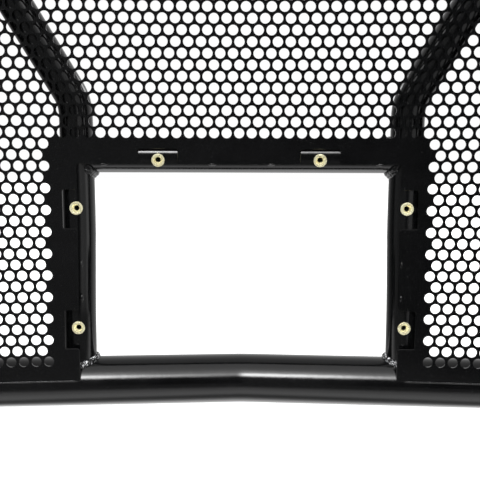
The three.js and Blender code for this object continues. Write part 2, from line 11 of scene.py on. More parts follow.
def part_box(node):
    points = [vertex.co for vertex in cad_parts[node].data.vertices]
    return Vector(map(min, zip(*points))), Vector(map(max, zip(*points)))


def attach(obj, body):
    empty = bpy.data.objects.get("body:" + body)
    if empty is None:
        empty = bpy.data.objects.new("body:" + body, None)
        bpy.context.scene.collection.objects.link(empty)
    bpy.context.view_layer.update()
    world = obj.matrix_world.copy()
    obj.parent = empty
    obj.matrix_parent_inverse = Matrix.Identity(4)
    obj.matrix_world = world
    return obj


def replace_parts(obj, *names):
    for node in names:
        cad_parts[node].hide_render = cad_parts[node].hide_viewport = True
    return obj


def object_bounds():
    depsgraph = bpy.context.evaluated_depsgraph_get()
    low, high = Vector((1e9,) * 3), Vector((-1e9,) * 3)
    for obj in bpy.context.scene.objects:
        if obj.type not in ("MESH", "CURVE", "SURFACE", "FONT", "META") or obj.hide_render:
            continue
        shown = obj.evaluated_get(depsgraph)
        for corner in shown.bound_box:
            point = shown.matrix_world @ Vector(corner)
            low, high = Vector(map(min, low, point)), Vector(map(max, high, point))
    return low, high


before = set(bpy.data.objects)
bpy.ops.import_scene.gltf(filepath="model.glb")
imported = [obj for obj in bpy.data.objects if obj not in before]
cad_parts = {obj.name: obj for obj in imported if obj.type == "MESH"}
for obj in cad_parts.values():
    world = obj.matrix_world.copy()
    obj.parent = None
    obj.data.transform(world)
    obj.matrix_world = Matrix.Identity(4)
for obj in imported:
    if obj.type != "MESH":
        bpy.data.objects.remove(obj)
cad_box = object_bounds()
scene = bpy.context.scene
MILLI = 0.001
ROOT = "root"
SIDES = (("right", 1), ("left", -1))


def box_mm(piece):
    low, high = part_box(piece)
    return np.array(low) / MILLI, np.array(high) / MILLI


# ---- driving sizes -------------------------------------------------------------------------------
plate_low, plate_high = box_mm("right_upright")
bracket_high = box_mm("right_frame_bracket")[1]
GAP = 0.35                      # clearance between neighbouring pieces
BIG_R, BIG_WALL = 25.4, 2.8
BIG_BORE = BIG_R - BIG_WALL
LOW_R = 26.2                    # outside of the bottom tube
LOW_LIFT = 0.9
SMALL_R, SMALL_WALL = 15.875, 2.0
SMALL_BORE = SMALL_R - SMALL_WALL

PLATE_IN = float(plate_low[0])
PLATE_T = float(plate_high[0] - plate_low[0])
PLATE_DROP = 88.0               # upright's lowest edge below the bottom tube's axis
MOUNT_T = 6.0                   # loop mount plate and bracket
INBOARD_X = PLATE_IN - GAP
MOUNT_X = PLATE_IN + PLATE_T + GAP
MOUNT_OUT_X = MOUNT_X + MOUNT_T
OUTBOARD_X = MOUNT_OUT_X + GAP
BRACKET_Y = 252.0               # rear face of the bracket flange
FLANGE_FRONT_Y = BRACKET_Y - MOUNT_T
LOOP_BOLT_Z = (95.0, 185.0, 355.0, 445.0)
BRACKET_BOLTS = ((120.0, 34.0), (120.0, -52.0))     # (y, z)
M10_HOLE_R, M12_HOLE_R = 5.4, 6.5

# Places on the sheet are (across, rise, depth): across and rise run along its curved front face,
# depth runs along its normal towards the rear.
SHEET_T, SHEET_Y = 2.0, 31.5
PLAN_R, PLAN_ARC = 2122.0, 226.0
LEAN, LEAN_START, LEAN_ARC = 0.0956, 150.0, 64.0
SHEET_BOTTOM, SHEET_TOP, SHEET_SIDE = 8.0, 540.0, 400.0
WINDOW_SIDE, WINDOW_TOP = 164.5, 232.4
SIDE_NOTCHES = [(42.0, 82.0), (166.5, 206.5)]       # rise, from and to
TOP_NOTCH = (62.5, 102.5)                           # across, from and to
NOTCH_SIDE, LEFT_NOTCH_EXTRA, NOTCH_TOP = 179.6, 2.6, 248.0
OFFSET = 2.8                    # cut-outs and holes sit this far to the right
TOP_TUBE_RISE = 547.0
EDGE_BREAK = 0.3

SHIFT = np.array([
    0.0, float(bracket_high[1]) - BRACKET_Y, float(plate_low[2]) + PLATE_DROP,
])
SHIFT_M = Vector(SHIFT * MILLI)


# ---- the curved sheet face -----------------------------------------------------------------------
def plan(across):
    """x, y and turn of the plan curve: an arc with straight ends."""
    across = np.asarray(across, float)
    reach = np.abs(across)
    sign = np.where(across < 0, -1.0, 1.0)
    end = PLAN_ARC / PLAN_R
    beyond = np.maximum(reach - PLAN_ARC, 0)
    turn = np.minimum(reach, PLAN_ARC) / PLAN_R
    x = sign * (PLAN_R * np.sin(turn) + beyond * math.cos(end))
    y = PLAN_R * (1 - np.cos(turn)) + beyond * math.sin(end)
    return x, y, sign * turn


def lean(rise):
    """y, z and tilt of the side profile: upright, a short arc, then leaning back."""
    rise = np.asarray(rise, float)
    radius = LEAN_ARC / LEAN
    tilt = np.clip((rise - LEAN_START) / radius, 0, LEAN)
    beyond = np.maximum(rise - LEAN_START - LEAN_ARC, 0)
    y = radius * (1 - np.cos(tilt)) + beyond * math.sin(LEAN)
    z = np.minimum(rise, LEAN_START) + radius * np.sin(tilt) + beyond * math.cos(LEAN)
    return y, z, tilt


def face_normal(across, rise):
    turn, tilt = np.broadcast_arrays(plan(across)[2], lean(rise)[2])
    return np.stack([
        -np.sin(turn) * np.cos(tilt), np.cos(turn) * np.cos(tilt), -np.cos(turn) * np.sin(tilt),
    ], -1)


def face(across, rise, depth=0.0):
    x, plan_y, _ = plan(across)
    lean_y, z, _ = lean(rise)
    x, plan_y, lean_y, z = np.broadcast_arrays(x, plan_y, lean_y, z)
    normal = face_normal(across, rise)
    point = np.stack([x, SHEET_Y + plan_y + lean_y, z], -1)
    return point + normal * np.asarray(depth, float)[..., None]


def ahead_of_sheet(radius):
    """Depth of a tube's axis when its rear just clears the sheet's front."""
    return -(radius + GAP + 0.05)


def centre_y(z):
    """Line of the loop mount's bolts, which follows the sheet's lean."""
    return 34.0 + lean(z)[0]


# ---- mesh helpers --------------------------------------------------------------------------------
def shade(mesh, sharp_degrees):
    mesh.shade_smooth()
    mesh.set_sharp_from_angle(angle=math.radians(sharp_degrees))


def add_object(name, mesh, material):
    obj = bpy.data.objects.new(name, mesh)
    scene.collection.objects.link(obj)
    mesh.materials.append(material)
    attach(obj, ROOT)
    return obj


def new_object(name, verts, faces, material, slot="gloss_black", sharp=35.0):
    mesh = bpy.data.meshes.new(name)
    placed = (np.asarray(verts, float) + SHIFT) * MILLI
    mesh.from_pydata(placed.tolist(), [], faces)
    mesh.validate()
    mesh.update()
    shade(mesh, sharp)
    return add_object(name, mesh, material)


def on_side(sign, verts, faces):
    """The mesh itself on the right (sign 1), mirrored across X on the left."""
    if sign > 0:
        return verts, faces
    mirrored = np.array(verts, float)
    mirrored[:, 0] *= -1
    return mirrored, [tuple(reversed(corners)) for corners in faces]


@contextmanager
def edited(mesh):
    """Opens the mesh for editing, then turns its faces outward and writes it back."""
    edit = bmesh.new()
    edit.from_mesh(mesh)
    yield edit
    bmesh.ops.recalc_face_normals(edit, faces=edit.faces)
    edit.to_mesh(mesh)
    edit.free()


def face_outward(mesh):
    with edited(mesh):
        pass


def ring_quads(rings, sides, closed=True, flip=False):
    """Quads joining rings of equal length; closed joins the last ring to the first."""
    quads = []
    for i in range(rings if closed else rings - 1):
        here, there = i * sides, (i + 1) % rings * sides
        for k in range(sides):
            after = (k + 1) % sides
            quad = (here + k, here + after, there + after, there + k)
            quads.append((quad[0], quad[3], quad[2], quad[1]) if flip else quad)
    return quads


def unit(vectors):
    return vectors / np.linalg.norm(vectors, axis=-1, keepdims=True)


def angles_round(count):
    return 2 * np.pi * np.arange(count) / count


# ---- tubes ---------------------------------------------------------------------------------------
def path_frames(path, reference):
    """Two cross directions at each point, carried along the path without twist."""
    tangents = np.zeros_like(path)
    tangents[1:-1] = path[2:] - path[:-2]
    tangents[0], tangents[-1] = path[1] - path[0], path[-1] - path[-2]
    tangents = unit(tangents)
    normals = np.zeros_like(path)
    normal = np.array(reference, float)
    for i, tangent in enumerate(tangents):
        normal = normal - normal.dot(tangent) * tangent
        normal /= np.linalg.norm(normal)
        normals[i] = normal
    return tangents, normals, np.cross(tangents, normals)


def to_plane_x(x):
    """Travel from points along directions to a plane across X."""
    def travel(points, directions):
        return (x - points[:, 0]) / directions[:, 0]
    return travel


def to_cylinder(origin, axis, radius):
    """Travel from points along directions to the near side of a cylinder."""
    origin, axis = np.asarray(origin, float), np.asarray(axis, float)
    axis = axis / np.linalg.norm(axis)

    def travel(points, directions):
        offset = points - origin
        offset = offset - np.outer(offset @ axis, axis)
        heading = directions - np.outer(directions @ axis, axis)
        square = (heading * heading).sum(1)
        linear = 2 * (offset * heading).sum(1)
        constant = (offset * offset).sum(1) - radius ** 2
        inner = linear * linear - 4 * square * constant
        return (-linear - np.sqrt(np.maximum(inner, 0))) / (2 * square)
    return travel


def tube_mesh(path, outer, bore, sides, reference, start, end):
    """A walled tube whose end rings are cut to the surfaces start and end.

    Returns vertices, faces and the first and last outer rings.
    """
    path = np.asarray(path, float)
    tangents, normals, binormals = path_frames(path, reference)
    angle = angles_round(sides)
    skins = []
    for radius in (outer, bore):
        rings = path[:, None, :] + radius * (
            np.cos(angle)[None, :, None] * normals[:, None, :]
            + np.sin(angle)[None, :, None] * binormals[:, None, :])
        for ring, cut, direction in ((0, start, -tangents[0]), (-1, end, tangents[-1])):
            directions = np.tile(direction, (sides, 1))
            rings[ring] = rings[ring] + cut(rings[ring], directions)[:, None] * directions
        skins.append(rings)
    verts = np.concatenate([rings.reshape(-1, 3) for rings in skins])
    stations = len(path)
    inside = stations * sides
    faces = []
    for outer_quad, inner_quad in zip(
            ring_quads(stations, sides, closed=False),
            ring_quads(stations, sides, closed=False, flip=True)):
        faces += [outer_quad, tuple(inside + i for i in inner_quad)]
    last = (stations - 1) * sides
    for k in range(sides):
        after = (k + 1) % sides
        faces.append((k, inside + k, inside + after, after))
        faces.append((last + k, last + after, inside + last + after, inside + last + k))
    return verts, faces, skins[0][0].copy(), skins[0][-1].copy()


# ---- weld beads ----------------------------------------------------------------------------------
rng = np.random.default_rng(7)
welds = []
BEAD_SIDES, STEPS_PER_SCALE, BEAD_FLATNESS = 14, 6.0, 0.8


def resample(path, step):
    lengths = np.linalg.norm(np.diff(path, axis=0), axis=1)
    travelled = np.concatenate([[0], np.cumsum(lengths)])
    count = max(2, int(round(travelled[-1] / step)) + 1)
    wanted = np.linspace(0, travelled[-1], count)
    return np.stack([np.interp(wanted, travelled, path[:, k]) for k in range(3)], 1)


def bead_mesh(path, radius, closed, outward, pitch):
    """A weld bead: overlapping rounded scales along the path."""
    path = np.asarray(path, float)
    if closed:
        path = resample(np.concatenate([path, path[:1]]), pitch / STEPS_PER_SCALE)[:-1]
        tangents = np.roll(path, -1, 0) - np.roll(path, 1, 0)
    else:
        path = resample(path, pitch / STEPS_PER_SCALE)
        tangents = np.gradient(path, axis=0)
    tangents = unit(tangents)
    count = len(path)
    if outward is None:
        reference = path - path.mean(0)
    else:
        reference = np.tile(np.asarray(outward, float), (count, 1))
    normals = reference - (reference * tangents).sum(1)[:, None] * tangents
    normals /= np.linalg.norm(normals, axis=1)[:, None] + 1e-9
    binormals = np.cross(tangents, normals)

    scales = np.arange(count) / STEPS_PER_SCALE
    last = scales[-1]
    phase = scales - np.floor(scales)
    ripple = 1.0 + 0.11 * (1 - phase) ** 0.6 - 0.05
    knots = max(4, int(last / 3) + 2)
    wobble = np.interp(
        scales, np.linspace(0, last + 1e-6, knots), 1 + 0.07 * rng.standard_normal(knots))
    to_end = np.minimum(scales, last - scales)
    if closed:
        # the wobble fades at the seam so the ends meet
        weight = np.clip(to_end / 3.0, 0, 1)
        radii = radius * ripple * (weight * wobble + (1 - weight))
    else:
        rounding = 1 - np.clip(1 - to_end / 1.6, 0, 1) ** 2
        radii = radius * ripple * wobble * np.sqrt(np.clip(rounding, 0.02, 1))

    angle = angles_round(BEAD_SIDES)
    # each scale leans back a little, as a pool does
    lag = -0.35 * pitch * np.cos(angle)[None, :] * 0.35
    rings = path[:, None, :] + radii[:, None, None] * (
        BEAD_FLATNESS * np.cos(angle)[None, :, None] * normals[:, None, :]
        + np.sin(angle)[None, :, None] * binormals[:, None, :]
    ) + lag[:, :, None] * tangents[:, None, :]
    faces = ring_quads(count, BEAD_SIDES, closed)
    if not closed:
        faces.append(tuple(reversed(range(BEAD_SIDES))))
        faces.append(tuple((count - 1) * BEAD_SIDES + k for k in range(BEAD_SIDES)))
    return rings.reshape(-1, 3), faces


def add_weld(name, path, radius, closed=True, outward=None, pitch=2.6):
    """Shapes a right-hand bead; the objects for both sides are made later."""
    welds.append((name, *bead_mesh(path, radius, closed, outward, pitch)))


def clear_of_sheet(path, radius):
    """Keeps a bead that runs beside the sheet ahead of the sheet's front face."""
    path = np.array(path, float)
    sheet_y = face(path[:, 0], path[:, 2])[:, 1]
    path[:, 1] = np.minimum(path[:, 1], sheet_y - 0.85 * radius - 1.0)
    return path


# ---- shader helpers ------------------------------------------------------------------------------
def base_material(name):
    material = bpy.data.materials.new(name)
    material.use_nodes = True
    tree = material.node_tree
    tree.nodes.clear()
    output = tree.nodes.new("ShaderNodeOutputMaterial")
    shader = tree.nodes.new("ShaderNodeBsdfPrincipled")
    tree.links.new(shader.outputs[0], output.inputs[0])
    return material, tree, shader


def noise(tree, scale, detail, roughness):
    coordinates = tree.nodes.get("Texture Coordinate") or tree.nodes.new("ShaderNodeTexCoord")
    texture = tree.nodes.new("ShaderNodeTexNoise")
    texture.inputs["Scale"].default_value = scale
    texture.inputs["Detail"].default_value = detail
    texture.inputs["Roughness"].default_value = roughness
    tree.links.new(coordinates.outputs["Object"], texture.inputs["Vector"])
    return texture.outputs["Fac"]


def ramp(tree, source, stops):
    """stops: (position, (red, green, blue))."""
    band = tree.nodes.new("ShaderNodeValToRGB")
    while len(band.color_ramp.elements) < len(stops):
        band.color_ramp.elements.new(0.5)
    for element, (position, colour) in zip(band.color_ramp.elements, stops):
        element.position = position
        element.color = (*colour, 1)
    tree.links.new(source, band.inputs[0])
    return band.outputs[0]


def map_range(tree, source, span, result, smooth=False):
    remap = tree.nodes.new("ShaderNodeMapRange")
    remap.inputs["From Min"].default_value, remap.inputs["From Max"].default_value = span
    remap.inputs["To Min"].default_value, remap.inputs["To Max"].default_value = result
    tree.links.new(source, remap.inputs["Value"])
    if smooth:
        remap.interpolation_type = "SMOOTHSTEP"
    return remap.outputs[0]


def bump(tree, height, strength, distance, under=None):
    relief = tree.nodes.new("ShaderNodeBump")
    relief.inputs["Strength"].default_value = strength
    relief.inputs["Distance"].default_value = distance
    tree.links.new(height, relief.inputs["Height"])
    if under is not None:
        tree.links.new(under, relief.inputs["Normal"])
    return relief.outputs[0]


def add_colours(tree, first, second):
    mix = tree.nodes.new("ShaderNodeMix")
    mix.data_type = "RGBA"
    mix.blend_type = "ADD"
    mix.inputs["Factor"].default_value = 1.0
    tree.links.new(first, mix.inputs["A"])
    tree.links.new(second, mix.inputs["B"])
    return mix.outputs["Result"]


def calculate(tree, operation, *operands):
    step = tree.nodes.new("ShaderNodeMath")
    step.operation = operation
    for i, operand in enumerate(operands):
        if isinstance(operand, (int, float)):
            step.inputs[i].default_value = operand
        else:
            tree.links.new(operand, step.inputs[i])
    return step.outputs[0]


def mix_shaders(tree, factor, first, second):
    mix = tree.nodes.new("ShaderNodeMixShader")
    for i, source in enumerate((factor, first, second)):
        tree.links.new(source, mix.inputs[i])
    return mix.outputs[0]


# ---- materials -----------------------------------------------------------------------------------
PAINT = (0.0018, 0.0019, 0.0021)


def gloss_black(name, rough, peel, glint_level=None):
    """Gloss powder coat with orange peel, a fine haze and dust specks.

    rough is the roughness range, peel the bump strength; crest is the noise level above which
    the coat turns pale: painted glints, a painted highlight on the weld ripples.
    """
    material, tree, shader = base_material(name)
    haze = noise(tree, scale=34.0, detail=3.0, roughness=0.55)
    tree.links.new(map_range(tree, haze, (0.3, 0.7), rough), shader.inputs["Roughness"])
    paint = ramp(tree, haze, [(0.35, PAINT), (0.7, tuple(1.35 * c for c in PAINT))])
    dust = noise(tree, scale=900.0, detail=0.0, roughness=0.5)
    specks = ramp(tree, dust, [(0.78, (0, 0, 0)), (0.82, (0.012, 0.012, 0.012))])
    colour = add_colours(tree, paint, specks)
    if glint_level is not None:
        # pale flecks on the ripple crests are painted glints, a painted highlight where the ripples
        # catch the key light
        ripples = noise(tree, scale=620.0, detail=1.0, roughness=0.6)
        painted_glints = ramp(tree, ripples, [(glint_level - 0.06, (0, 0, 0)), (glint_level, (0.75, 0.76, 0.78))])
        colour = add_colours(tree, colour, painted_glints)
    tree.links.new(colour, shader.inputs["Base Color"])
    shader.inputs["IOR"].default_value = 1.5
    fine = noise(tree, scale=420.0, detail=1.0, roughness=0.4)
    broad = noise(tree, scale=110.0, detail=1.0, roughness=0.5)
    broad_relief = bump(tree, broad, strength=peel, distance=0.0006)
    relief = bump(tree, fine, strength=peel, distance=0.00018, under=broad_relief)
    tree.links.new(relief, shader.inputs["Normal"])
    return material


def mottled(name, mottle_scale, mottle_detail, colours, rough, metallic,
            grain_scale, grain_detail, grain_strength, grain_depth):
    """One noise drives colour and roughness, a finer one the surface grain."""
    material, tree, shader = base_material(name)
    mottle = noise(tree, mottle_scale, mottle_detail, roughness=0.6)
    tree.links.new(ramp(tree, mottle, colours), shader.inputs["Base Color"])
    shader.inputs["Metallic"].default_value = metallic
    tree.links.new(map_range(tree, mottle, (0.3, 0.7), rough), shader.inputs["Roughness"])
    grain = noise(tree, grain_scale, grain_detail, roughness=0.6)
    relief = bump(tree, grain, grain_strength, grain_depth)
    tree.links.new(relief, shader.inputs["Normal"])
    return material


BLACK_TUBE = gloss_black("gloss_black_tube", rough=(0.10, 0.16), peel=0.10)
BLACK_SHEET = gloss_black("gloss_black_sheet", rough=(0.12, 0.18), peel=0.10)
BLACK_WELD = gloss_black("gloss_black_weld", rough=(0.05, 0.10), peel=1.0)
BLACK_PLATE = gloss_black("gloss_black_plate", rough=(0.12, 0.2), peel=0.12)
# the foot weld carries painted glints on its ripple crests
BLACK_FOOT = gloss_black("gloss_black_foot_weld", rough=(0.04, 0.08), peel=1.0, glint_level=0.62)
ZINC = mottled(
    "yellow_zinc_plate", mottle_scale=160.0, mottle_detail=3.0,
    colours=[(0.3, (0.93, 0.83, 0.47)), (0.5, (0.98, 0.92, 0.62)), (0.7, (0.93, 0.92, 0.62))],
    rough=(0.20, 0.34), metallic=0.6,
    grain_scale=800.0, grain_detail=2.0, grain_strength=0.7, grain_depth=0.00035)
RUBBER = mottled(
    "black_rubber", mottle_scale=60.0, mottle_detail=4.0,
    colours=[(0.3, (0.011, 0.011, 0.011)), (0.7, (0.021, 0.021, 0.020))],
    rough=(0.55, 0.75), metallic=0.0,
    grain_scale=1400.0, grain_detail=3.0, grain_strength=0.5, grain_depth=0.00015)
STEEL = mottled(
    "black_oxide_steel", mottle_scale=220.0, mottle_detail=4.0,
    colours=[(0.3, (0.035, 0.036, 0.038)), (0.7, (0.075, 0.074, 0.073))],
    rough=(0.28, 0.45), metallic=0.9,
    grain_scale=1700.0, grain_detail=2.0, grain_strength=0.3, grain_depth=0.0001)

# ---- cross tubes ---------------------------------------------------------------------------------
V_ANGLE, V_BEND_R = math.radians(4.5), 100.0
LOW_AXIS = np.array([math.cos(V_ANGLE), math.sin(V_ANGLE), 0.0])
LOW_STATIONS = (398.0, 340.0, 280.0, 220.0, 160.0, 100.0, 50.0)     # from the middle outward


def bottom_path():
    """A shallow V, its ends swept back, with a short bend in the middle."""
    bend_y = V_BEND_R / math.cos(V_ANGLE)
    bend = [
        np.array([V_BEND_R * math.sin(a), bend_y - V_BEND_R * math.cos(a), 0.0])
        for a in np.linspace(V_ANGLE, -V_ANGLE, 15)]
    right = [distance * LOW_AXIS for distance in LOW_STATIONS]
    left = [np.array([-point[0], point[1], 0.0]) for point in reversed(right)]
    return np.array((right + bend + left)[::-1])


def cross_tube(name, cad, path, outer, sides):
    verts, faces, _, right_ring = tube_mesh(
        path, outer, BIG_BORE, sides, (0, 0, 1),
        start=to_plane_x(-INBOARD_X), end=to_plane_x(INBOARD_X))
    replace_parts(new_object(name, verts, faces, BLACK_TUBE), cad)
    add_weld(f"{name}_weld", right_ring + np.array([-0.6, 0, 0]), 3.6)


cross_tube("bottom_tube", "bottom_cross_tube",
           bottom_path() + np.array([0, 0, LOW_LIFT]), LOW_R, 96)
top_across = np.concatenate([
    np.linspace(-400, -PLAN_ARC, 8),
    np.linspace(-PLAN_ARC, PLAN_ARC, 41)[1:-1],
    np.linspace(PLAN_ARC, 400, 8)])
cross_tube("top_tube", "top_cross_tube",
           face(top_across, TOP_TUBE_RISE, ahead_of_sheet(BIG_R)), BIG_R, 80)

# ---- posts ---------------------------------------------------------------------------------------
POST_ACROSS, POST_R, RAIL_R = 167.3, 17.0, 16.9
POST_OUT = 0.8                                  # the post axis beyond its stations
POST_DEPTH = ahead_of_sheet(SMALL_R) - 1.1
POST_BEND_RISE, POST_BEND_R, POST_BEND = 281.0, 48.0, math.radians(30)
POST_TOP = 508
POST_FOOT_Z, POST_FOOT_Y = 15.2, 36.0
# (across beyond POST_ACROSS, rise) up the lower part
POST_FOOT = [(0.3, 38.0), (0.4, 50.0), (0.6, 65.0), (0.7, 80.0), (0.65, 100.0), (0.5, 120.0),
             (0.3, 136.0), (0.2, LEAN_START)]


def post_stations():
    stations = [(POST_ACROSS + extra, rise) for extra, rise in POST_FOOT]
    stations += [(POST_ACROSS, LEAN_START + LEAN_ARC * k / 8) for k in range(1, 9)]
    stations.append((POST_ACROSS, 250.0))
    for a in np.linspace(0, POST_BEND, 13):
        stations.append((POST_ACROSS + POST_BEND_R * (1 - math.cos(a)),
                         POST_BEND_RISE + POST_BEND_R * math.sin(a)))
    bend_across, bend_rise = stations[-1]
    for rise in np.linspace(bend_rise, POST_TOP, 14)[1:]:
        stations.append((bend_across + (rise - bend_rise) * math.tan(POST_BEND), rise))
    return np.array(stations)


def post_lean(rise):
    """Depth that sets the post's foot forward; it fades out at a rise of 150."""
    return -6.0 * np.clip((150.0 - np.asarray(rise, float)) / 110.0, 0.0, 1.04) ** 1.5


foot_on_tube = to_cylinder((0, 0, LOW_LIFT), LOW_AXIS, LOW_R + 0.1)


def post_foot(points, directions):
    """The front of the foot stops on the bottom tube, the rest no lower than POST_FOOT_Z."""
    down = np.maximum(-directions[:, 2], 1e-6)
    to_level = (points[:, 2] - POST_FOOT_Z) / down
    to_tube = np.minimum(foot_on_tube(points, directions), to_level)
    return np.where(points[:, 1] < POST_FOOT_Y, to_tube, to_level)


def post_mesh():
    across, rise = post_stations().T
    back = post_lean(rise)
    path = face(across + POST_OUT - 0.2 * back, rise, POST_DEPTH + back)
    # the top tube is straight where the post meets it
    near, far = (face(a, TOP_TUBE_RISE, ahead_of_sheet(BIG_R)) for a in (300.0, 340.0))
    return tube_mesh(path, POST_R, SMALL_BORE, 72, (0, 1, 0), start=post_foot,
                     end=to_cylinder(near, far - near, BIG_R + 0.15))


# ---- rivet nut places ----------------------------------------------------------------------------
SIDE_NUT_RISE = (64.1, 187.4)
TOP_NUT_ACROSS, TOP_NUT_DROP = 82.3, 4.2
NUT_PROUD = 0.33
NUT_HOLE_R, NUT_HOLE_DEPTH = 4.8, 6.0
RAIL_RISE, RAIL_LIFT = 238.9, 0.3
RAIL_DEPTH = ahead_of_sheet(SMALL_R) - 1.0


def frame_at(point, normal):
    """Matrix with Z along normal, its origin at point in metres."""
    z = Vector(normal).normalized()
    x = Vector((1, 0, 0)) - z * z.x
    x.normalize()
    y = z.cross(x)
    matrix = Matrix((x, y, z)).transposed().to_4x4()
    matrix.translation = Vector(point) * MILLI
    return matrix


def nut_places(sign):
    """(name, matrix) of the nuts on the rear of one post and one half of the rail."""
    places = []
    for name, rise in zip(("lower", "upper"), SIDE_NUT_RISE):
        back = float(post_lean(rise))
        tilt = float(lean(rise)[2]) + float(post_lean(rise + 1.0) - post_lean(rise))
        normal = np.array([0, math.cos(tilt), -math.sin(tilt)])
        point = face(POST_ACROSS - 0.1 * back, rise, POST_DEPTH + back)
        point = point + normal * (POST_R + NUT_PROUD)
        places.append((name, frame_at(point * np.array([sign, 1, 1]), normal)))
    across = sign * TOP_NUT_ACROSS + OFFSET
    turn, tilt = float(plan(across)[2]), math.asin(TOP_NUT_DROP / RAIL_R)
    normal = np.array([
        -math.sin(turn) * math.cos(tilt), math.cos(turn) * math.cos(tilt), -math.sin(tilt)])
    point = face(across, RAIL_RISE + RAIL_LIFT, RAIL_DEPTH) + normal * (RAIL_R + NUT_PROUD)
    places.append(("top", frame_at(point, normal)))
    return places


def drill(obj, places):
    """Cuts round holes through the tube wall for the rivet nuts."""
    for i, place in enumerate(places):
        cone = bmesh.new()
        bmesh.ops.create_cone(
            cone, cap_ends=True, segments=40, radius1=NUT_HOLE_R * MILLI,
            radius2=NUT_HOLE_R * MILLI, depth=2 * NUT_HOLE_DEPTH * MILLI,
            matrix=Matrix.Translation(SHIFT_M) @ place)
        mesh = bpy.data.meshes.new(f"cut{i}")
        cone.to_mesh(mesh)
        cone.free()
        cutter = bpy.data.objects.new(f"cut{i}", mesh)
        scene.collection.objects.link(cutter)
        cut = obj.modifiers.new("cut", "BOOLEAN")
        cut.operation = "DIFFERENCE"
        cut.solver = "EXACT"
        cut.object = cutter
        depsgraph = bpy.context.evaluated_depsgraph_get()
        drilled = bpy.data.meshes.new_from_object(obj.evaluated_get(depsgraph))
        obj.modifiers.clear()
        obj.data = drilled
        bpy.data.objects.remove(cutter)
        bpy.data.meshes.remove(mesh)
    shade(obj.data, 35)


post_verts, post_faces, foot_ring, head_ring = post_mesh()
for side, sign in SIDES:
    obj = new_object(f"{side}_post", *on_side(sign, post_verts, post_faces), BLACK_TUBE)
    drill(obj, [place for name, place in nut_places(sign) if name != "top"])
    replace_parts(obj, f"{side}_post_tube")
add_weld("post_foot_weld", foot_ring + np.array([0, 0, 0.2]), 4.0)
add_weld("post_head_weld", clear_of_sheet(head_ring, 3.2), 3.2)


# ---- window top rail -----------------------------------------------------------------------------
def window_rail():
    low, high = (
        face(POST_ACROSS + POST_OUT, RAIL_RISE + step, POST_DEPTH) for step in (-20, 30))
    mirror = np.array([-1, 1, 1])
    verts, faces, _, right_ring = tube_mesh(
        face(np.linspace(-146, 146, 41), RAIL_RISE + RAIL_LIFT, RAIL_DEPTH),
        RAIL_R, SMALL_BORE, 72, (0, 0, 1),
        start=to_cylinder(low * mirror, (high - low) * mirror, POST_R + 0.1),
        end=to_cylinder(low, high - low, POST_R + 0.1))
    obj = new_object("window_rail", verts, faces, BLACK_TUBE)
    drill(obj, [
        place for _, sign in SIDES for name, place in nut_places(sign) if name == "top"])
    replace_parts(obj, "window_top_rail")
    return right_ring


rail_ring = window_rail()
add_weld("rail_end_weld", clear_of_sheet(rail_ring + np.array([-0.9, 0, 0]), 4.6), 4.6, pitch=3.4)
# two more beads under the rail, in its corner with the post
under_rail = np.roll(rail_ring, -int(np.argmax(rail_ring[:, 2])), axis=0)
under_rail = under_rail[under_rail[:, 2] < RAIL_RISE - 7.0]
for name, offset, radius, pitch in (
        ("corner_fill_a", (-1.9, 0, -1.2), 3.1, 2.8),
        ("corner_fill_b", (-0.3, 0, -3.9), 2.3, 3.1)):
    add_weld(name, clear_of_sheet(under_rail + np.array(offset), radius), radius,
             closed=False, outward=(-1, 0, -1), pitch=pitch)

# ---- rivet nuts ----------------------------------------------------------------------------------
NUT_SIDES = 72
SHADED_THREAD_BANDS = range(24, 63)    # profile bands deep in the bore, shown in dark steel: painted shade inside the hole


def rivet_nut_profile():
    """(radius, height) from the collar, down the bore and back up the outside."""
    profile = [(6.55, 0.0), (6.7, 0.18), (6.7, 1.05), (6.6, 1.28), (6.38, 1.4), (4.75, 1.4),
               (4.5, 1.32), (4.3, 1.1)]
    for k in range(1, 9):
        u = k / 8
        profile.append((4.3 - 1.35 * u, 1.1 - 2.0 * u - 0.25 * math.sin(math.pi * u)))
    z = -1.0
    while z > -12.2:
        profile += [(2.8, z - 0.12), (2.8, z - 0.3), (3.1, z - 0.62), (3.1, z - 0.72)]
        z -= 1.0
    profile += [(2.75, -12.9), (3.4, -13.0), (4.3, -13.0), (4.5, -12.8), (4.5, -9.8),
                (5.0, -9.1), (5.9, -7.9), (6.1, -7.2), (5.9, -6.5), (5.0, -5.4),
                (4.5, -4.8), (4.5, 0.0)]
    return np.asarray(profile, float)


def lathe(profile, sides):
    angle = angles_round(sides)
    radius, height = profile[:, 0][:, None], profile[:, 1][:, None]
    verts = np.stack([
        radius * np.cos(angle), radius * np.sin(angle), np.repeat(height, sides, 1)], -1)
    faces = [tuple(reversed(quad)) for quad in ring_quads(len(profile), sides)]
    return verts.reshape(-1, 3), faces


nut_verts, nut_faces = lathe(rivet_nut_profile(), NUT_SIDES)
for side, sign in SIDES:
    for name, place in nut_places(sign):
        matrix = np.array(place)
        verts = nut_verts @ matrix[:3, :3].T + matrix[:3, 3] / MILLI
        obj = new_object(f"{side}_{name}_nut", verts, nut_faces, ZINC, "yellow_zinc", sharp=28)
        obj.data.materials.append(STEEL)
        for k, polygon in enumerate(obj.data.polygons):
            # painted shade: the bore beyond its first turns of thread gets the dark steel material
            polygon.material_index = 1 if k // NUT_SIDES in SHADED_THREAD_BANDS else 0
        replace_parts(obj, f"{side}_{name}_rivet_nut")


# ---- grille sheet --------------------------------------------------------------------------------
# Holes lie on a staggered lattice of hexagonal cells; row j goes down as j grows.
PITCH, ROW, ROW_10_RISE, HOLE_R = 12.652, 11.185, 263.9, 5.17
ROWS, COLUMNS = range(-12, 32), range(-32, 33)
HOLES_SIDE = 383                # no hole centre beyond this on the right
WINDOW_ROW, WINDOW_COLUMNS = 11, 15.4
HOLE_SIDES = 18


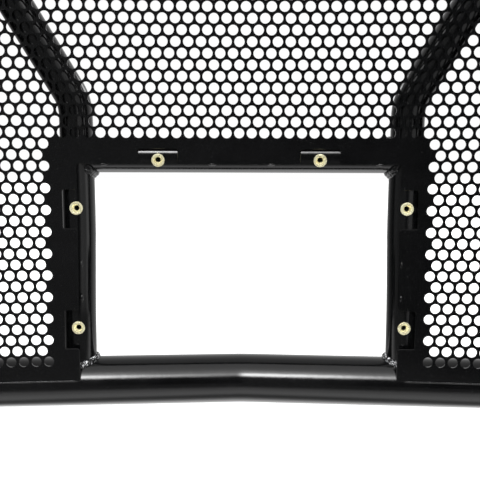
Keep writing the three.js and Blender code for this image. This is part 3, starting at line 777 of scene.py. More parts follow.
def corner_arc(before, corner, after, radius, steps=None):
    """Points rounding a corner; without steps they lie about 0.6 apart."""
    to_before = (before - corner) / np.linalg.norm(before - corner)
    to_after = (after - corner) / np.linalg.norm(after - corner)
    half = math.acos(float(np.clip(to_before @ to_after, -1, 1))) / 2
    run = radius / math.tan(half)
    middle = to_before + to_after
    centre = corner + middle / np.linalg.norm(middle) * radius / math.sin(half)
    start, end = corner + to_before * run, corner + to_after * run
    first = math.atan2(*(start - centre)[::-1])
    sweep = math.atan2(*(end - centre)[::-1]) - first
    sweep = (sweep + math.pi) % (2 * math.pi) - math.pi
    steps = steps or max(3, int(abs(sweep) * radius / 0.6))
    angles = [first + sweep * q / steps for q in range(steps + 1)]
    return [centre + radius * np.array([math.cos(a), math.sin(a)]) for a in angles]


def rounded_loop(points):
    """points: (across, rise, corner radius). The sides are divided finely enough to bend."""
    places = [np.array(point[:2], float) for point in points]
    rounded = []
    for i, (_, _, radius) in enumerate(points):
        rounded += corner_arc(places[i - 1], places[i], places[(i + 1) % len(points)], radius)
    dense = []
    for i, start in enumerate(rounded):
        end = rounded[(i + 1) % len(rounded)]
        parts = max(1, int(np.ceil(np.linalg.norm(end - start) / 14.0)))
        dense += [start + (end - start) * q / parts for q in range(parts)]
    return np.array(dense)


def window_half(notch_side):
    """(across, rise, corner radius) up one side of the window to its top notch."""
    half = [(WINDOW_SIDE, SHEET_BOTTOM, 1.5)]
    for low, high in SIDE_NOTCHES:
        half += [(WINDOW_SIDE, low, 3.0), (notch_side, low, 1.5),
                 (notch_side, high, 1.5), (WINDOW_SIDE, high, 3.0)]
    inner, outer = TOP_NOTCH
    return half + [(WINDOW_SIDE, WINDOW_TOP, 2.5),
                   (outer, WINDOW_TOP, 3.0), (outer, NOTCH_TOP, 1.5),
                   (inner, NOTCH_TOP, 1.5), (inner, WINDOW_TOP, 3.0)]


def sheet_outline():
    """Anticlockwise in (across, rise): lower left, round the window, lower right, top."""
    left, right = window_half(NOTCH_SIDE + LEFT_NOTCH_EXTRA), window_half(NOTCH_SIDE)
    return rounded_loop(
        [(-SHEET_SIDE, SHEET_BOTTOM, 2.0)]
        + [(OFFSET - across, rise, radius) for across, rise, radius in left]
        + [(OFFSET + across, rise, radius) for across, rise, radius in reversed(right)]
        + [(SHEET_SIDE, SHEET_BOTTOM, 2.0), (SHEET_SIDE, SHEET_TOP, 2.0),
           (-SHEET_SIDE, SHEET_TOP, 2.0)])


def inset_loop(outline, inset):
    ahead = unit(np.roll(outline, -1, 0) - outline)
    behind = unit(outline - np.roll(outline, 1, 0))
    travel = behind + ahead
    inward = unit(np.stack([-travel[:, 1], travel[:, 0]], 1))
    square = np.stack([-ahead[:, 1], ahead[:, 0]], 1)
    spread = np.clip((inward * square).sum(1), 0.4, 1)
    return outline + inward * (inset / spread)[:, None]


def lattice(j, k):
    """Across (before OFFSET) and rise of a cell's centre."""
    stagger = 0.0 if j % 2 == 0 else 0.5
    return (k + stagger) * PITCH, ROW_10_RISE + (10 - j) * ROW


def hole_cells():
    """{(row, column): centre} of the cells that have a hole."""
    cells = {}
    for j in ROWS:
        for k in COLUMNS:
            across, rise = lattice(j, k)
            if abs(across) > HOLES_SIDE - OFFSET:
                continue
            if j >= WINDOW_ROW and abs(across) < WINDOW_COLUMNS * PITCH:
                continue
            cells[j, k] = np.array([across + OFFSET, rise])
    return cells


def nearest_cell(point):
    row = math.floor(10 - (point[1] - ROW_10_RISE) / ROW)
    candidates = []
    for j in (row, row + 1):
        stagger = 0.0 if j % 2 == 0 else 0.5
        column = round((point[0] - OFFSET) / PITCH - stagger)
        candidates += [(j, k) for k in (column - 1, column, column + 1)]

    def distance(cell):
        across, rise = lattice(*cell)
        return (point[0] - OFFSET - across) ** 2 + (point[1] - rise) ** 2
    return min(candidates, key=distance)


def inside_loop(point, loop):
    x, y = point
    start, end = loop, np.roll(loop, -1, 0)
    crosses = (start[:, 1] > y) != (end[:, 1] > y)
    run, height = end[:, 0] - start[:, 0], end[:, 1] - start[:, 1]
    meets = run * (y - start[:, 1]) / (height + 1e-12) + start[:, 0]
    return bool(np.count_nonzero(crosses & (x < meets)) % 2)


def perforated_cells(cells):
    """Flat hexagons with round holes: points, triangles, hole rings and once-used edges."""
    low = (ROW ** 2 - PITCH ** 2 / 4) / (2 * ROW)
    tip = (ROW ** 2 + PITCH ** 2 / 4) / (2 * ROW)
    corners = np.array([(PITCH / 2, low), (0, tip), (-PITCH / 2, low),
                        (-PITCH / 2, -low), (0, -tip), (PITCH / 2, -low)])
    corner_angles = np.unwrap(np.arctan2(corners[:, 1], corners[:, 0]))
    corner_angles = np.append(corner_angles, corner_angles[0] + 2 * np.pi)
    hole_angles = np.concatenate([
        np.linspace(corner_angles[m], corner_angles[m + 1], 4)[:3] for m in range(6)])
    circle = HOLE_R * np.stack([np.cos(hole_angles), np.sin(hole_angles)], 1)

    known, points, triangles, hole_rings, edge_uses = {}, [], [], [], {}

    def shared_point(point):
        """Neighbouring cells share corners that agree to 0.005."""
        key = (round(float(point[0]) * 200), round(float(point[1]) * 200))
        if key not in known:
            known[key] = len(points)
            points.append((float(point[0]), float(point[1])))
        return known[key]

    for centre in cells.values():
        hexagon = [shared_point(centre + corner) for corner in corners]
        hole = list(range(len(points), len(points) + HOLE_SIDES))
        points.extend(map(tuple, (centre + circle).tolist()))
        hole_rings.append((hole, centre))
        for m in range(6):
            start, end = hexagon[m], hexagon[(m + 1) % 6]
            edge = frozenset((start, end))
            edge_uses[edge] = edge_uses.get(edge, 0) + 1
            rim = [hole[(3 * m + step) % HOLE_SIDES] for step in range(4)]
            triangles += [(start, rim[1], rim[0]), (start, end, rim[1]),
                          (end, rim[2], rim[1]), (end, rim[3], rim[2])]
    ragged = [tuple(edge) for edge, uses in edge_uses.items() if uses == 1]
    return points, triangles, hole_rings, ragged


def fill_margin(points, triangles, ragged, inset, cells):
    """Triangles between the outline and the lattice's ragged edge; adds to both lists."""
    count = len(inset)
    rim = sorted({i for edge in ragged for i in edge})
    local = {point: count + i for i, point in enumerate(rim)}
    vectors = [Vector(p) for p in inset.tolist()] + [Vector(points[i]) for i in rim]
    edges = [(i, (i + 1) % count) for i in range(count)]
    edges += [(local[start], local[end]) for start, end in ragged]
    result = delaunay_2d_cdt(vectors, edges, [], 0, 1e-6)
    places, fills, origins = result[0], result[2], result[3]
    first_inset = len(points)
    points.extend(map(tuple, inset.tolist()))
    ids = []
    for place, sources in zip(places, origins):
        if sources:
            source = sources[0]
            ids.append(first_inset + source if source < count else rim[source - count])
        else:
            ids.append(len(points))
            points.append((place.x, place.y))
    for fill in fills:
        corners = [ids[i] for i in fill]
        centroid = np.mean([points[i] for i in corners], 0)
        if inside_loop(centroid, inset) and nearest_cell(centroid) not in cells:
            triangles.append(tuple(corners))
    return first_inset


def face_anticlockwise(points, triangles):
    turned = np.array(triangles)
    a, b, c = (points[turned[:, i]] for i in range(3))
    area = ((b[:, 0] - a[:, 0]) * (c[:, 1] - a[:, 1])
            - (b[:, 1] - a[:, 1]) * (c[:, 0] - a[:, 0]))
    turned[area < 0] = turned[area < 0][:, ::-1]
    return turned


def hole_walls(points, hole_rings):
    """Wall quads from front to rear with normals towards each hole's centre."""
    rear = len(points)
    faces, normals = [], []
    for hole, centre in hole_rings:
        for q in range(HOLE_SIDES):
            start, end = hole[q], hole[(q + 1) % HOLE_SIDES]
            faces.append((start, end, end + rear, start + rear))
            at_start, at_end = (
                (inward[0], 0, inward[1])
                for inward in ((centre - points[i]) / HOLE_R for i in (start, end)))
            normals += [at_start, at_end, at_end, at_start]
    return faces, np.array(normals)


def broken_edge(verts, count, first_inset, edge_count):
    """The outline's rim: a chamfer, the square edge and a chamfer, with flat normals."""
    faces, normals = [], []
    edge_front, edge_rear = 2 * count, 2 * count + edge_count
    for i in range(edge_count):
        j = (i + 1) % edge_count
        start, end = first_inset + i, first_inset + j
        faces.append((end, start, edge_front + i, edge_front + j))
        faces.append((edge_front + j, edge_front + i, edge_rear + i, edge_rear + j))
        faces.append((edge_rear + j, edge_rear + i, start + count, end + count))
    for quad in faces:
        corner = verts[list(quad)]
        normal = (np.cross(corner[1] - corner[0], corner[2] - corner[0])
                  + np.cross(corner[2] - corner[0], corner[3] - corner[0]))
        normals += [normal / (np.linalg.norm(normal) + 1e-12)] * 4
    return faces, np.array(normals)


def sheet_mesh():
    """Vertices, faces and one normal for each face corner."""
    outline = sheet_outline()
    cells = hole_cells()
    points, triangles, hole_rings, ragged = perforated_cells(cells)
    first_inset = fill_margin(points, triangles, ragged, inset_loop(outline, EDGE_BREAK), cells)
    points = np.array(points)
    # with +X to the right seen from -Y, anticlockwise in (across, rise) faces -Y
    front = face_anticlockwise(points, triangles)
    rear = front[:, ::-1]
    count, edge_count = len(points), len(outline)
    verts = np.concatenate(
        [face(points[:, 0], points[:, 1], depth) for depth in (0.0, SHEET_T)]
        + [face(outline[:, 0], outline[:, 1], depth)
           for depth in (EDGE_BREAK, SHEET_T - EDGE_BREAK)])
    rearward = face_normal(points[:, 0], points[:, 1])
    walls, wall_normals = hole_walls(points, hole_rings)
    rim, rim_normals = broken_edge(verts, count, first_inset, edge_count)
    faces = [tuple(t) for t in front.tolist()] + [tuple(t) for t in (rear + count).tolist()]
    faces += walls + rim
    normals = np.concatenate([
        (-rearward[front]).reshape(-1, 3), rearward[rear].reshape(-1, 3),
        wall_normals, rim_normals])
    # the triangulation can leave points that no face uses
    used = np.zeros(len(verts), bool)
    used[[i for corners in faces for i in corners]] = True
    renumber = np.cumsum(used) - 1
    faces = [tuple(int(renumber[i]) for i in corners) for corners in faces]
    return verts[used], faces, normals


sheet_verts, sheet_faces, sheet_normals = sheet_mesh()
sheet = bpy.data.meshes.new("perforated_sheet")
sheet.from_pydata(((sheet_verts + SHIFT) * MILLI).tolist(), [], sheet_faces)
sheet.shade_smooth()
sheet.normals_split_custom_set(sheet_normals.tolist())
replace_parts(add_object("perforated_sheet", sheet, BLACK_SHEET), "grille_sheet")


# ---- flat plates ---------------------------------------------------------------------------------
def flat_plate(outline, holes, thickness, bevel):
    """A plate with broken edges in its own XY plane, its thickness from z = 0 up."""
    curve = bpy.data.curves.new("plate", "CURVE")
    curve.dimensions = "2D"
    curve.fill_mode = "BOTH"
    for loop in [outline] + holes:
        spline = curve.splines.new("POLY")
        spline.points.add(len(loop) - 1)
        for point, place in zip(spline.points, loop):
            point.co = (place[0] * MILLI, place[1] * MILLI, 0, 1)
        spline.use_cyclic_u = True
    curve.extrude = (thickness / 2 - bevel) * MILLI
    curve.bevel_depth = bevel * MILLI
    curve.bevel_resolution = 2
    curve.offset = -bevel * MILLI
    temporary = bpy.data.objects.new("plate", curve)
    scene.collection.objects.link(temporary)
    depsgraph = bpy.context.evaluated_depsgraph_get()
    mesh = bpy.data.meshes.new_from_object(temporary.evaluated_get(depsgraph))
    bpy.data.objects.remove(temporary)
    bpy.data.curves.remove(curve)
    with edited(mesh) as edit:
        bmesh.ops.remove_doubles(edit, verts=edit.verts, dist=1e-6)
        bmesh.ops.translate(edit, vec=(0, 0, thickness / 2 * MILLI), verts=edit.verts)
    return mesh


def place_plate(name, mesh, matrix, sign):
    mesh = mesh.copy()
    mesh.name = name
    mesh.transform(matrix)
    if sign < 0:
        mesh.transform(Matrix.Scale(-1, 4, (1, 0, 0)))
        mesh.flip_normals()
    mesh.transform(Matrix.Translation(SHIFT_M))
    mesh.materials.clear()
    shade(mesh, 30)
    return add_object(name, mesh, BLACK_PLATE)


def circle(x, y, radius, sides=40):
    angles = [2 * math.pi * k / sides for k in range(sides)]
    return [(x + radius * math.cos(a), y + radius * math.sin(a)) for a in angles]


def bezier_point(controls, u):
    degree = len(controls) - 1
    return sum(
        math.comb(degree, i) * (1 - u) ** (degree - i) * u ** i * np.array(control, float)
        for i, control in enumerate(controls))


def trace(start, segments):
    """Outline points from start; each segment is (its further control points, steps)."""
    points = [start]
    for controls, steps in segments:
        controls = [points[-1], *controls]
        points += [tuple(bezier_point(controls, k / steps)) for k in range(1, steps + 1)]
    return points


# control points (y, z) of the upright's front edge, upwards
FRONT_EDGE = [(-10, -40), (-40, 150), (-10, 400), (40, 586)]
UPRIGHT_START = (26, -PLATE_DROP)
# (further control points (y, z), steps), clockwise seen from the right: front, top, rear, foot
UPRIGHT_SEGMENTS = [
    ([(-4, -82), FRONT_EDGE[0]], 14),
    (FRONT_EDGE[1:], 60),
    ([(50, 616), (80, 616)], 16),
    ([(112, 614), (112, 584)], 16),
    ([(100, 430), (78, 300), (74, 170)], 40),
    ([(74, 110), (82, 70), (112, 64)], 20),
    ([(140, 64)], 1),
    ([(152, 64), (152, 52)], 10),
    ([(152, -72)], 1),
    ([(152, -88), (136, -88)], 10),
]
MOUNT_HALF_WIDTH = 30
mount_z = np.linspace(14, 532, 40)
mount_outline = [(float(centre_y(z)) - MOUNT_HALF_WIDTH, z) for z in mount_z[::-1]]
mount_outline += [(float(centre_y(z)) + MOUNT_HALF_WIDTH, z) for z in mount_z]
loop_holes = [circle(float(centre_y(z)), z, M10_HOLE_R) for z in LOOP_BOLT_Z]
bracket_holes = [circle(y, z, M12_HOLE_R) for y, z in BRACKET_BOLTS]


def standing_at(x):
    """Stands a plate up: its XY plane becomes YZ and its thickness runs from x to +X."""
    return Matrix(((0, 0, 1, x * MILLI), (1, 0, 0, 0), (0, 1, 0, 0), (0, 0, 0, 1)))


upright = flat_plate(
    trace(UPRIGHT_START, UPRIGHT_SEGMENTS), loop_holes + bracket_holes, PLATE_T, bevel=0.6)
for side, sign in SIDES:
    obj = place_plate(f"{side}_upright_plate", upright, standing_at(PLATE_IN), sign)
    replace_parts(obj, f"{side}_upright")

mount = flat_plate(mount_outline, loop_holes, MOUNT_T, bevel=0.7)
for side, sign in SIDES:
    obj = place_plate(f"{side}_loop_mount_plate", mount, standing_at(MOUNT_X), sign)
    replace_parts(obj, f"{side}_loop_plate")


# ---- rubber strips -------------------------------------------------------------------------------
def strip_profile():
    """(x from the plate's middle, distance ahead of its edge): two legs and a domed nose."""
    slot = PLATE_T / 2 + GAP
    left = [(-slot, 0.4), (-slot, -8.4), (-slot - 0.5, -8.9), (-7.3, -8.9), (-7.9, -8.3),
            (-8.0, -3.0), (-7.6, -2.4), (-7.6, -1.6), (-8.0, -1.0)]
    nose = [(-8.0, 2.4)]
    for degrees in np.linspace(180, 0, 25):
        cosine, sine = math.cos(math.radians(degrees)), math.sin(math.radians(degrees))
        groove = 0.0
        if 50 < degrees < 130:
            groove = 0.55 * max(0.0, math.cos(math.radians((degrees - 90) * 7.2))) ** 8
        nose.append((8.0 * cosine, 2.4 + (6.5 - groove) * sine))
    right = [(-x, ahead) for x, ahead in reversed(left)]
    return left + nose + right


def rubber_strip():
    """The profile swept along most of the upright's front edge."""
    edge = [np.array(point, float) for point in FRONT_EDGE]
    profile = strip_profile()
    stations, sides = 73, len(profile)
    middle_x = PLATE_IN + PLATE_T / 2
    verts = []
    for k in range(stations):
        u = 0.06 + 0.88 * k / (stations - 1)
        point = bezier_point(FRONT_EDGE, u)
        slope = (3 * (1 - u) ** 2 * (edge[1] - edge[0])
                 + 6 * u * (1 - u) * (edge[2] - edge[1])
                 + 3 * u * u * (edge[3] - edge[2]))
        slope /= np.linalg.norm(slope)
        forward = np.array((-slope[1], slope[0]))
        for x, ahead in profile:
            verts.append((middle_x + x, *(point + forward * ahead)))
    faces = ring_quads(stations, sides, closed=False, flip=True)
    faces.append(tuple(range(sides)))
    faces.append(tuple((stations - 1) * sides + k for k in reversed(range(sides))))
    return verts, faces


strip = rubber_strip()
for side, sign in SIDES:
    obj = new_object(f"{side}_strip", *on_side(sign, *strip), RUBBER, "rubber_strip", sharp=32)
    with edited(obj.data) as edit:
        ends = [polygon for polygon in edit.faces if len(polygon.verts) > 4]
        bmesh.ops.triangulate(edit, faces=ends)
    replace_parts(obj, f"{side}_rubber_strip")

# ---- headlight loops -----------------------------------------------------------------------------
WRAP_START, WRAP_GAIN = 0.12, 0.00115   # sweep angle at the mount, and its growth per mm out
LOOP_CORNERS = [(0, 498), (502, 468), (472, 80), (0, 48)]   # (distance out, z)
LOOP_CORNER_R = 95
BAR_Z, BAR_REACH = 270.0, 440


def wrapped(out, z):
    """The point at a distance out along the loop's surface, which curves to the rear."""
    x, y = OUTBOARD_X, float(centre_y(z))
    steps = 24
    step = out / steps
    for k in range(steps):
        angle = WRAP_START + WRAP_GAIN * (k + 0.5) * step
        x += step * math.cos(angle)
        y += step * math.sin(angle)
    return np.array([x, y, z])


def loop_axis():
    corners = [np.array(corner, float) for corner in LOOP_CORNERS]
    flat = [corners[0]]
    for i in (1, 2):
        flat += corner_arc(corners[i - 1], corners[i], corners[i + 1], LOOP_CORNER_R, steps=16)
    flat.append(corners[-1])
    dense = []
    for start, end in zip(flat[:-1], flat[1:]):
        parts = max(1, int(np.linalg.norm(end - start) / 24))
        dense += [start + (end - start) * q / parts for q in range(parts)]
    dense.append(flat[-1])
    path = np.array([wrapped(out, z) for out, z in dense])
    # the ends stop short, leaving the cut to carry them to the mount
    path[0] = path[1] + (path[0] - path[1]) * 0.9
    path[-1] = path[-2] + (path[-1] - path[-2]) * 0.9
    return path


def side_tubes(name, cad, verts, faces):
    for side, sign in SIDES:
        obj = new_object(f"{side}_{name}", *on_side(sign, verts, faces), BLACK_TUBE)
        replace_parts(obj, f"{side}_{cad}")


loop_path = loop_axis()
verts, faces, upper_ring, lower_ring = tube_mesh(
    loop_path, BIG_R - 0.35, BIG_BORE, 72, (0, 1, 0),
    start=to_plane_x(OUTBOARD_X), end=to_plane_x(OUTBOARD_X))
side_tubes("loop", "headlight_loop", verts, faces)
add_weld("loop_upper_weld", upper_ring + np.array([0.6, 0, 0]), 3.6)
add_weld("loop_lower_weld", lower_ring + np.array([0.6, 0, 0]), 3.6)

# the bar ends on the loop's outer leg, at the station nearest its height
inboard_penalty = (loop_path[:, 0] < 600) * 1e3
nearest = int(np.argmin(np.abs(loop_path[:, 2] - BAR_Z) + inboard_penalty))
leg_start, leg_end = loop_path[nearest - 1], loop_path[nearest + 1]
verts, faces, inner_ring, outer_ring = tube_mesh(
    [wrapped(out, BAR_Z) for out in np.linspace(0, BAR_REACH, 25)],
    SMALL_R, SMALL_BORE, 60, (0, 0, 1), start=to_plane_x(OUTBOARD_X),
    end=to_cylinder(leg_start, leg_end - leg_start, BIG_R + 0.15))
side_tubes("bar", "loop_bar", verts, faces)
add_weld("bar_inner_weld", inner_ring + np.array([0.5, 0, 0]), 3.0)
add_weld("bar_outer_weld", outer_ring, 3.0)

# ---- frame brackets ------------------------------------------------------------------------------
FLANGE_REACH, BEND_R = 72, 9.0          # bend radius at mid thickness
BRACKET_LOW, BRACKET_HIGH = -82, 58
FLANGE_HOLES = [(x, z) for x in (24, 54) for z in (-56, 32)]
BEND_START = BRACKET_Y - MOUNT_T / 2 - BEND_R
BEND_ARC = BEND_R * math.pi / 2
GUSSET_T, GUSSET_Z = 5.0, -14.0         # thickness and underside


def fold(unfolded, z, through):
    """Carries an unfolded point round the bend, which is centred outboard and forward."""
    offset = through - MOUNT_T / 2
    if unfolded <= BEND_START:
        x, y = offset, unfolded
    elif unfolded <= BEND_START + BEND_ARC:
        angle = (unfolded - BEND_START) / BEND_R
        x = BEND_R - (BEND_R - offset) * math.cos(angle)
        y = BEND_START + (BEND_R - offset) * math.sin(angle)
    else:
        x, y = BEND_R + (unfolded - BEND_START - BEND_ARC), BEND_START + BEND_R - offset
    return Vector(((MOUNT_X + MOUNT_T / 2 + x) * MILLI, y * MILLI, z * MILLI))


def bracket_mesh():
    """One plate, cut flat as (distance back and round the bend, z), then folded."""
    flange_start = BEND_START + BEND_ARC - MOUNT_T / 2 - BEND_R
    end = flange_start + FLANGE_REACH
    bend = [BEND_START + BEND_ARC * q / 8 for q in range(9)]
    lower = [(along, BRACKET_LOW) for along in bend]
    upper = [(along, BRACKET_HIGH) for along in reversed(bend)]
    outline = lower[:-1] + trace(lower[-1], [
        ([(end - 12, BRACKET_LOW)], 1),
        ([(end, BRACKET_LOW), (end, -70)], 8),
        ([(end, 46)], 1),
        ([(end, BRACKET_HIGH), (end - 12, BRACKET_HIGH)], 8),
    ]) + upper[:-1] + trace(upper[-1], [
        ([(112, BRACKET_HIGH)], 1),
        ([(94, BRACKET_HIGH), (94, 40)], 10),
        ([(94, -56)], 1),
        ([(94, BRACKET_LOW), (120, BRACKET_LOW)], 12),
    ])
    flange_holes = [circle(flange_start + x, z, M12_HOLE_R) for x, z in FLANGE_HOLES]
    mesh = flat_plate(outline, bracket_holes + flange_holes, MOUNT_T, bevel=0.7)
    with edited(mesh) as edit:
        for q in range(13):
            bmesh.ops.bisect_plane(
                edit, geom=edit.verts[:] + edit.edges[:] + edit.faces[:],
                plane_co=((BEND_START + BEND_ARC * q / 12) * MILLI, 0, 0), plane_no=(1, 0, 0))
        for vertex in edit.verts:
            vertex.co = fold(*(value / MILLI for value in vertex.co))
    return mesh


def gusset_mesh():
    """A level plate in the bracket's bend, drawn as (y, x outboard of the side plate)."""
    against_flange = FLANGE_FRONT_Y - 0.1
    mesh = flat_plate(
        [(against_flange - 48, 0.1), (against_flange, 54),
         (against_flange, 12), (FLANGE_FRONT_Y - 12, 0.1)],
        [], GUSSET_T, bevel=0.5)
    mesh.transform(Matrix((
        (0, 1, 0, MOUNT_OUT_X * MILLI), (1, 0, 0, 0), (0, 0, 1, GUSSET_Z * MILLI),
        (0, 0, 0, 1))))
    face_outward(mesh)
    return mesh


bracket, gusset = bracket_mesh(), gusset_mesh()
for side, sign in SIDES:
    obj = place_plate(f"{side}_bracket", bracket, Matrix.Identity(4), sign)
    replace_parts(obj, f"{side}_frame_bracket")
    place_plate(f"{side}_bracket_gusset", gusset, Matrix.Identity(4), sign)
# a is above the gusset, b below it
for letter, z, up in (("a", GUSSET_Z + GUSSET_T + 0.4, 1), ("b", GUSSET_Z - 0.4, -1)):
    x, y = MOUNT_OUT_X + 0.2, FLANGE_FRONT_Y - 0.2
    add_weld(f"gusset_side_weld_{letter}",
             [[x, FLANGE_FRONT_Y - 46, z], [x, FLANGE_FRONT_Y - 10, z]],
             2.2, closed=False, outward=(1, 0, up))
    add_weld(f"gusset_flange_weld_{letter}",
             [[MOUNT_OUT_X + 12, y, z], [MOUNT_OUT_X + 50, y, z]],
             2.2, closed=False, outward=(0, -1, up))

# ---- fasteners: axis along X, bearing face at 0 --------------------------------------------------
HEX_SIDES, WASHER_SIDES = 72, 64


def turned(rings, sides):
    """A closed skin through rings of (radius, x); the last ring joins the first."""
    angle = angles_round(sides)
    verts = np.concatenate([
        np.stack([np.broadcast_to(x, angle.shape), radius * np.cos(angle),
                  radius * np.sin(angle)], 1)
        for radius, x in rings])
    return verts, ring_quads(len(rings), sides, flip=True)


def hexagon(across_flats):
    """Radius round a hexagon, its chamfer circle's radius and the chamfer's drop."""
    local = (angles_round(HEX_SIDES) + np.pi / 6) % (np.pi / 3) - np.pi / 6
    radius = across_flats / 2 / np.cos(local)
    chamfer = across_flats / 2 * 0.97
    return radius, chamfer, np.maximum(radius - chamfer, 0) * math.tan(math.radians(28))


def bolt_mesh(diameter, across_flats, head, length):
    """Head towards +X, shank and thread towards -X."""
    radius, chamfer, drop = hexagon(across_flats)
    shank = diameter / 2
    rings = [
        (0.02, head - 0.25), (0.55 * chamfer, head - 0.25), (0.62 * chamfer, head),
        (0.93 * chamfer, head), (np.minimum(radius, chamfer), head - 0.12),
        (radius, head - 0.15 - drop), (radius, 0.9 + drop * 0.6),
        (np.minimum(radius, chamfer), 0.55), (0.94 * chamfer, 0.5), (0.94 * chamfer, 0.0),
        (shank, 0.0), (shank, -11.0),
    ]
    x = -11.0
    while x > -length + 1.6:
        rings += [(shank - 0.55, x - 0.45), (shank - 0.55, x - 0.6),
                  (shank - 0.02, x - 1.15), (shank - 0.02, x - 1.3)]
        x -= 1.5
    rings += [(shank - 0.5, -length + 0.7), (shank - 1.3, -length), (0.02, -length)]
    return turned(rings, HEX_SIDES)


def nut_mesh(diameter, across_flats, thickness):
    """Body towards -X."""
    radius, chamfer, drop = hexagon(across_flats)
    bore = diameter / 2 + 0.3
    return turned([
        (bore, 0.0), (bore + 0.5, 0.0), (0.93 * chamfer, 0.0),
        (np.minimum(radius, chamfer), -0.12), (radius, -(0.2 + drop)),
        (radius, -(thickness - 0.2 - drop)),
        (np.minimum(radius, chamfer), -(thickness - 0.12)), (0.93 * chamfer, -thickness),
        (bore + 0.6, -thickness), (bore, -(thickness - 0.6)),
    ], HEX_SIDES)


def washer_mesh(outer, bore, thickness):
    return turned([
        (bore, 0.0), (outer - 0.35, 0.0), (outer, -0.35), (outer, -(thickness - 0.35)),
        (outer - 0.35, -thickness), (bore, -thickness),
    ], WASHER_SIDES)


def fasten(name, mesh, place, turn, cad, sign):
    verts, faces = mesh
    cosine, sine = math.cos(turn), math.sin(turn)
    y = verts[:, 1] * cosine - verts[:, 2] * sine
    z = verts[:, 1] * sine + verts[:, 2] * cosine
    verts = np.stack([verts[:, 0] + place[0], y + place[1], z + place[2]], 1)
    obj = new_object(name, *on_side(sign, verts, faces), STEEL, "fastener_steel", sharp=25)
    face_outward(obj.data)
    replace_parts(obj, cad)


WASHER_T = 2.5
m10_bolt = bolt_mesh(diameter=10, across_flats=16, head=6.4, length=26)
m10_nut = nut_mesh(diameter=10, across_flats=16, thickness=8)
m12_bolt = bolt_mesh(diameter=12, across_flats=18, head=7.5, length=30)
m12_nut = nut_mesh(diameter=12, across_flats=18, thickness=10)
m12_washer = washer_mesh(outer=12, bore=6.4, thickness=WASHER_T)
# the turns differ so that no two hexagons line up
for side, sign in SIDES:
    for i, z in enumerate(LOOP_BOLT_Z):
        y = float(centre_y(z))
        fasten(f"{side}_loop_hex_bolt_{i + 1}", m10_bolt, (OUTBOARD_X, y, z),
               0.3 + 0.7 * i, f"{side}_loop_bolt_{i + 1}", sign)
        fasten(f"{side}_loop_hex_nut_{i + 1}", m10_nut, (INBOARD_X, y, z),
               0.1 + 0.5 * i, f"{side}_loop_nut_{i + 1}", sign)
    for i, (y, z) in enumerate(BRACKET_BOLTS):
        fasten(f"{side}_bracket_hex_bolt_{i + 1}", m12_bolt, (OUTBOARD_X, y, z),
               0.2 + 0.6 * i, f"{side}_bracket_bolt_{i + 1}", sign)
        fasten(f"{side}_bracket_flat_washer_{i + 1}", m12_washer, (INBOARD_X, y, z),
               0.0, f"{side}_bracket_washer_{i + 1}", sign)
        fasten(f"{side}_bracket_hex_nut_{i + 1}", m12_nut, (INBOARD_X - WASHER_T - GAP, y, z),
               0.4 * i, f"{side}_bracket_nut_{i + 1}", sign)

# ---- welds along the sheet -----------------------------------------------------------------------
for i, rise in enumerate((95.0, 130.0)):
    add_weld(f"sheet_tack_{i + 1}", face(WINDOW_SIDE - 0.3, [rise - 3.5, rise + 3.5], 1.1),
             1.7, closed=False, outward=(-1, 0.6, 0), pitch=2.2)
for i, across in enumerate((30.0, 140.0)):
    add_weld(f"sheet_rail_tack_{i + 1}", face([across - 4, across + 4], WINDOW_TOP - 0.2, 1.0),
             1.5, closed=False, outward=(0, 0.6, -1), pitch=2.2)
add_weld("sheet_foot_weld", face(np.linspace(170.0, 396.0, 40), SHEET_BOTTOM - 0.6, 0.9),
         1.3, closed=False, outward=(0, 1, -0.5), pitch=2.4)
for i, rise in enumerate((60.0, 160.0, 260.0, 360.0, 460.0)):
    add_weld(f"sheet_side_weld_{i + 1}", face(SHEET_SIDE - 0.2, [rise - 12, rise + 12], 1.2),
             1.9, closed=False, outward=(0.4, 1, 0), pitch=2.4)

for name, verts, faces in welds:
    paint = BLACK_FOOT if name == "post_foot_weld" else BLACK_WELD
    for side, sign in SIDES:
        new_object(f"{side}_{name}", *on_side(sign, verts, faces), paint, sharp=60)

# ---- floor ---------------------------------------------------------------------------------------
FLOOR_HALF, FLOOR_DROP = 30, 0.0002     # metres
REFLECTED_Y = (-0.06, 0.26)             # metres, the span of the table below
REFLECTED_PEAK = 4.0                    # scales the table into the ramp's range
# (y in metres, strength) of the floor as reflections see it
REFLECTED_FLOOR = [
    (-0.06, 2.2), (-0.010, 2.2), (0.006, 1.6), (0.024, 0.65), (0.042, 0.40), (0.055, 0.76),
    (0.070, 1.4), (0.095, 1.45), (0.121, 1.1), (0.142, 1.05), (0.160, 0.74), (0.197, 0.37),
    (0.235, 0.19), (0.26, 0.17),
]


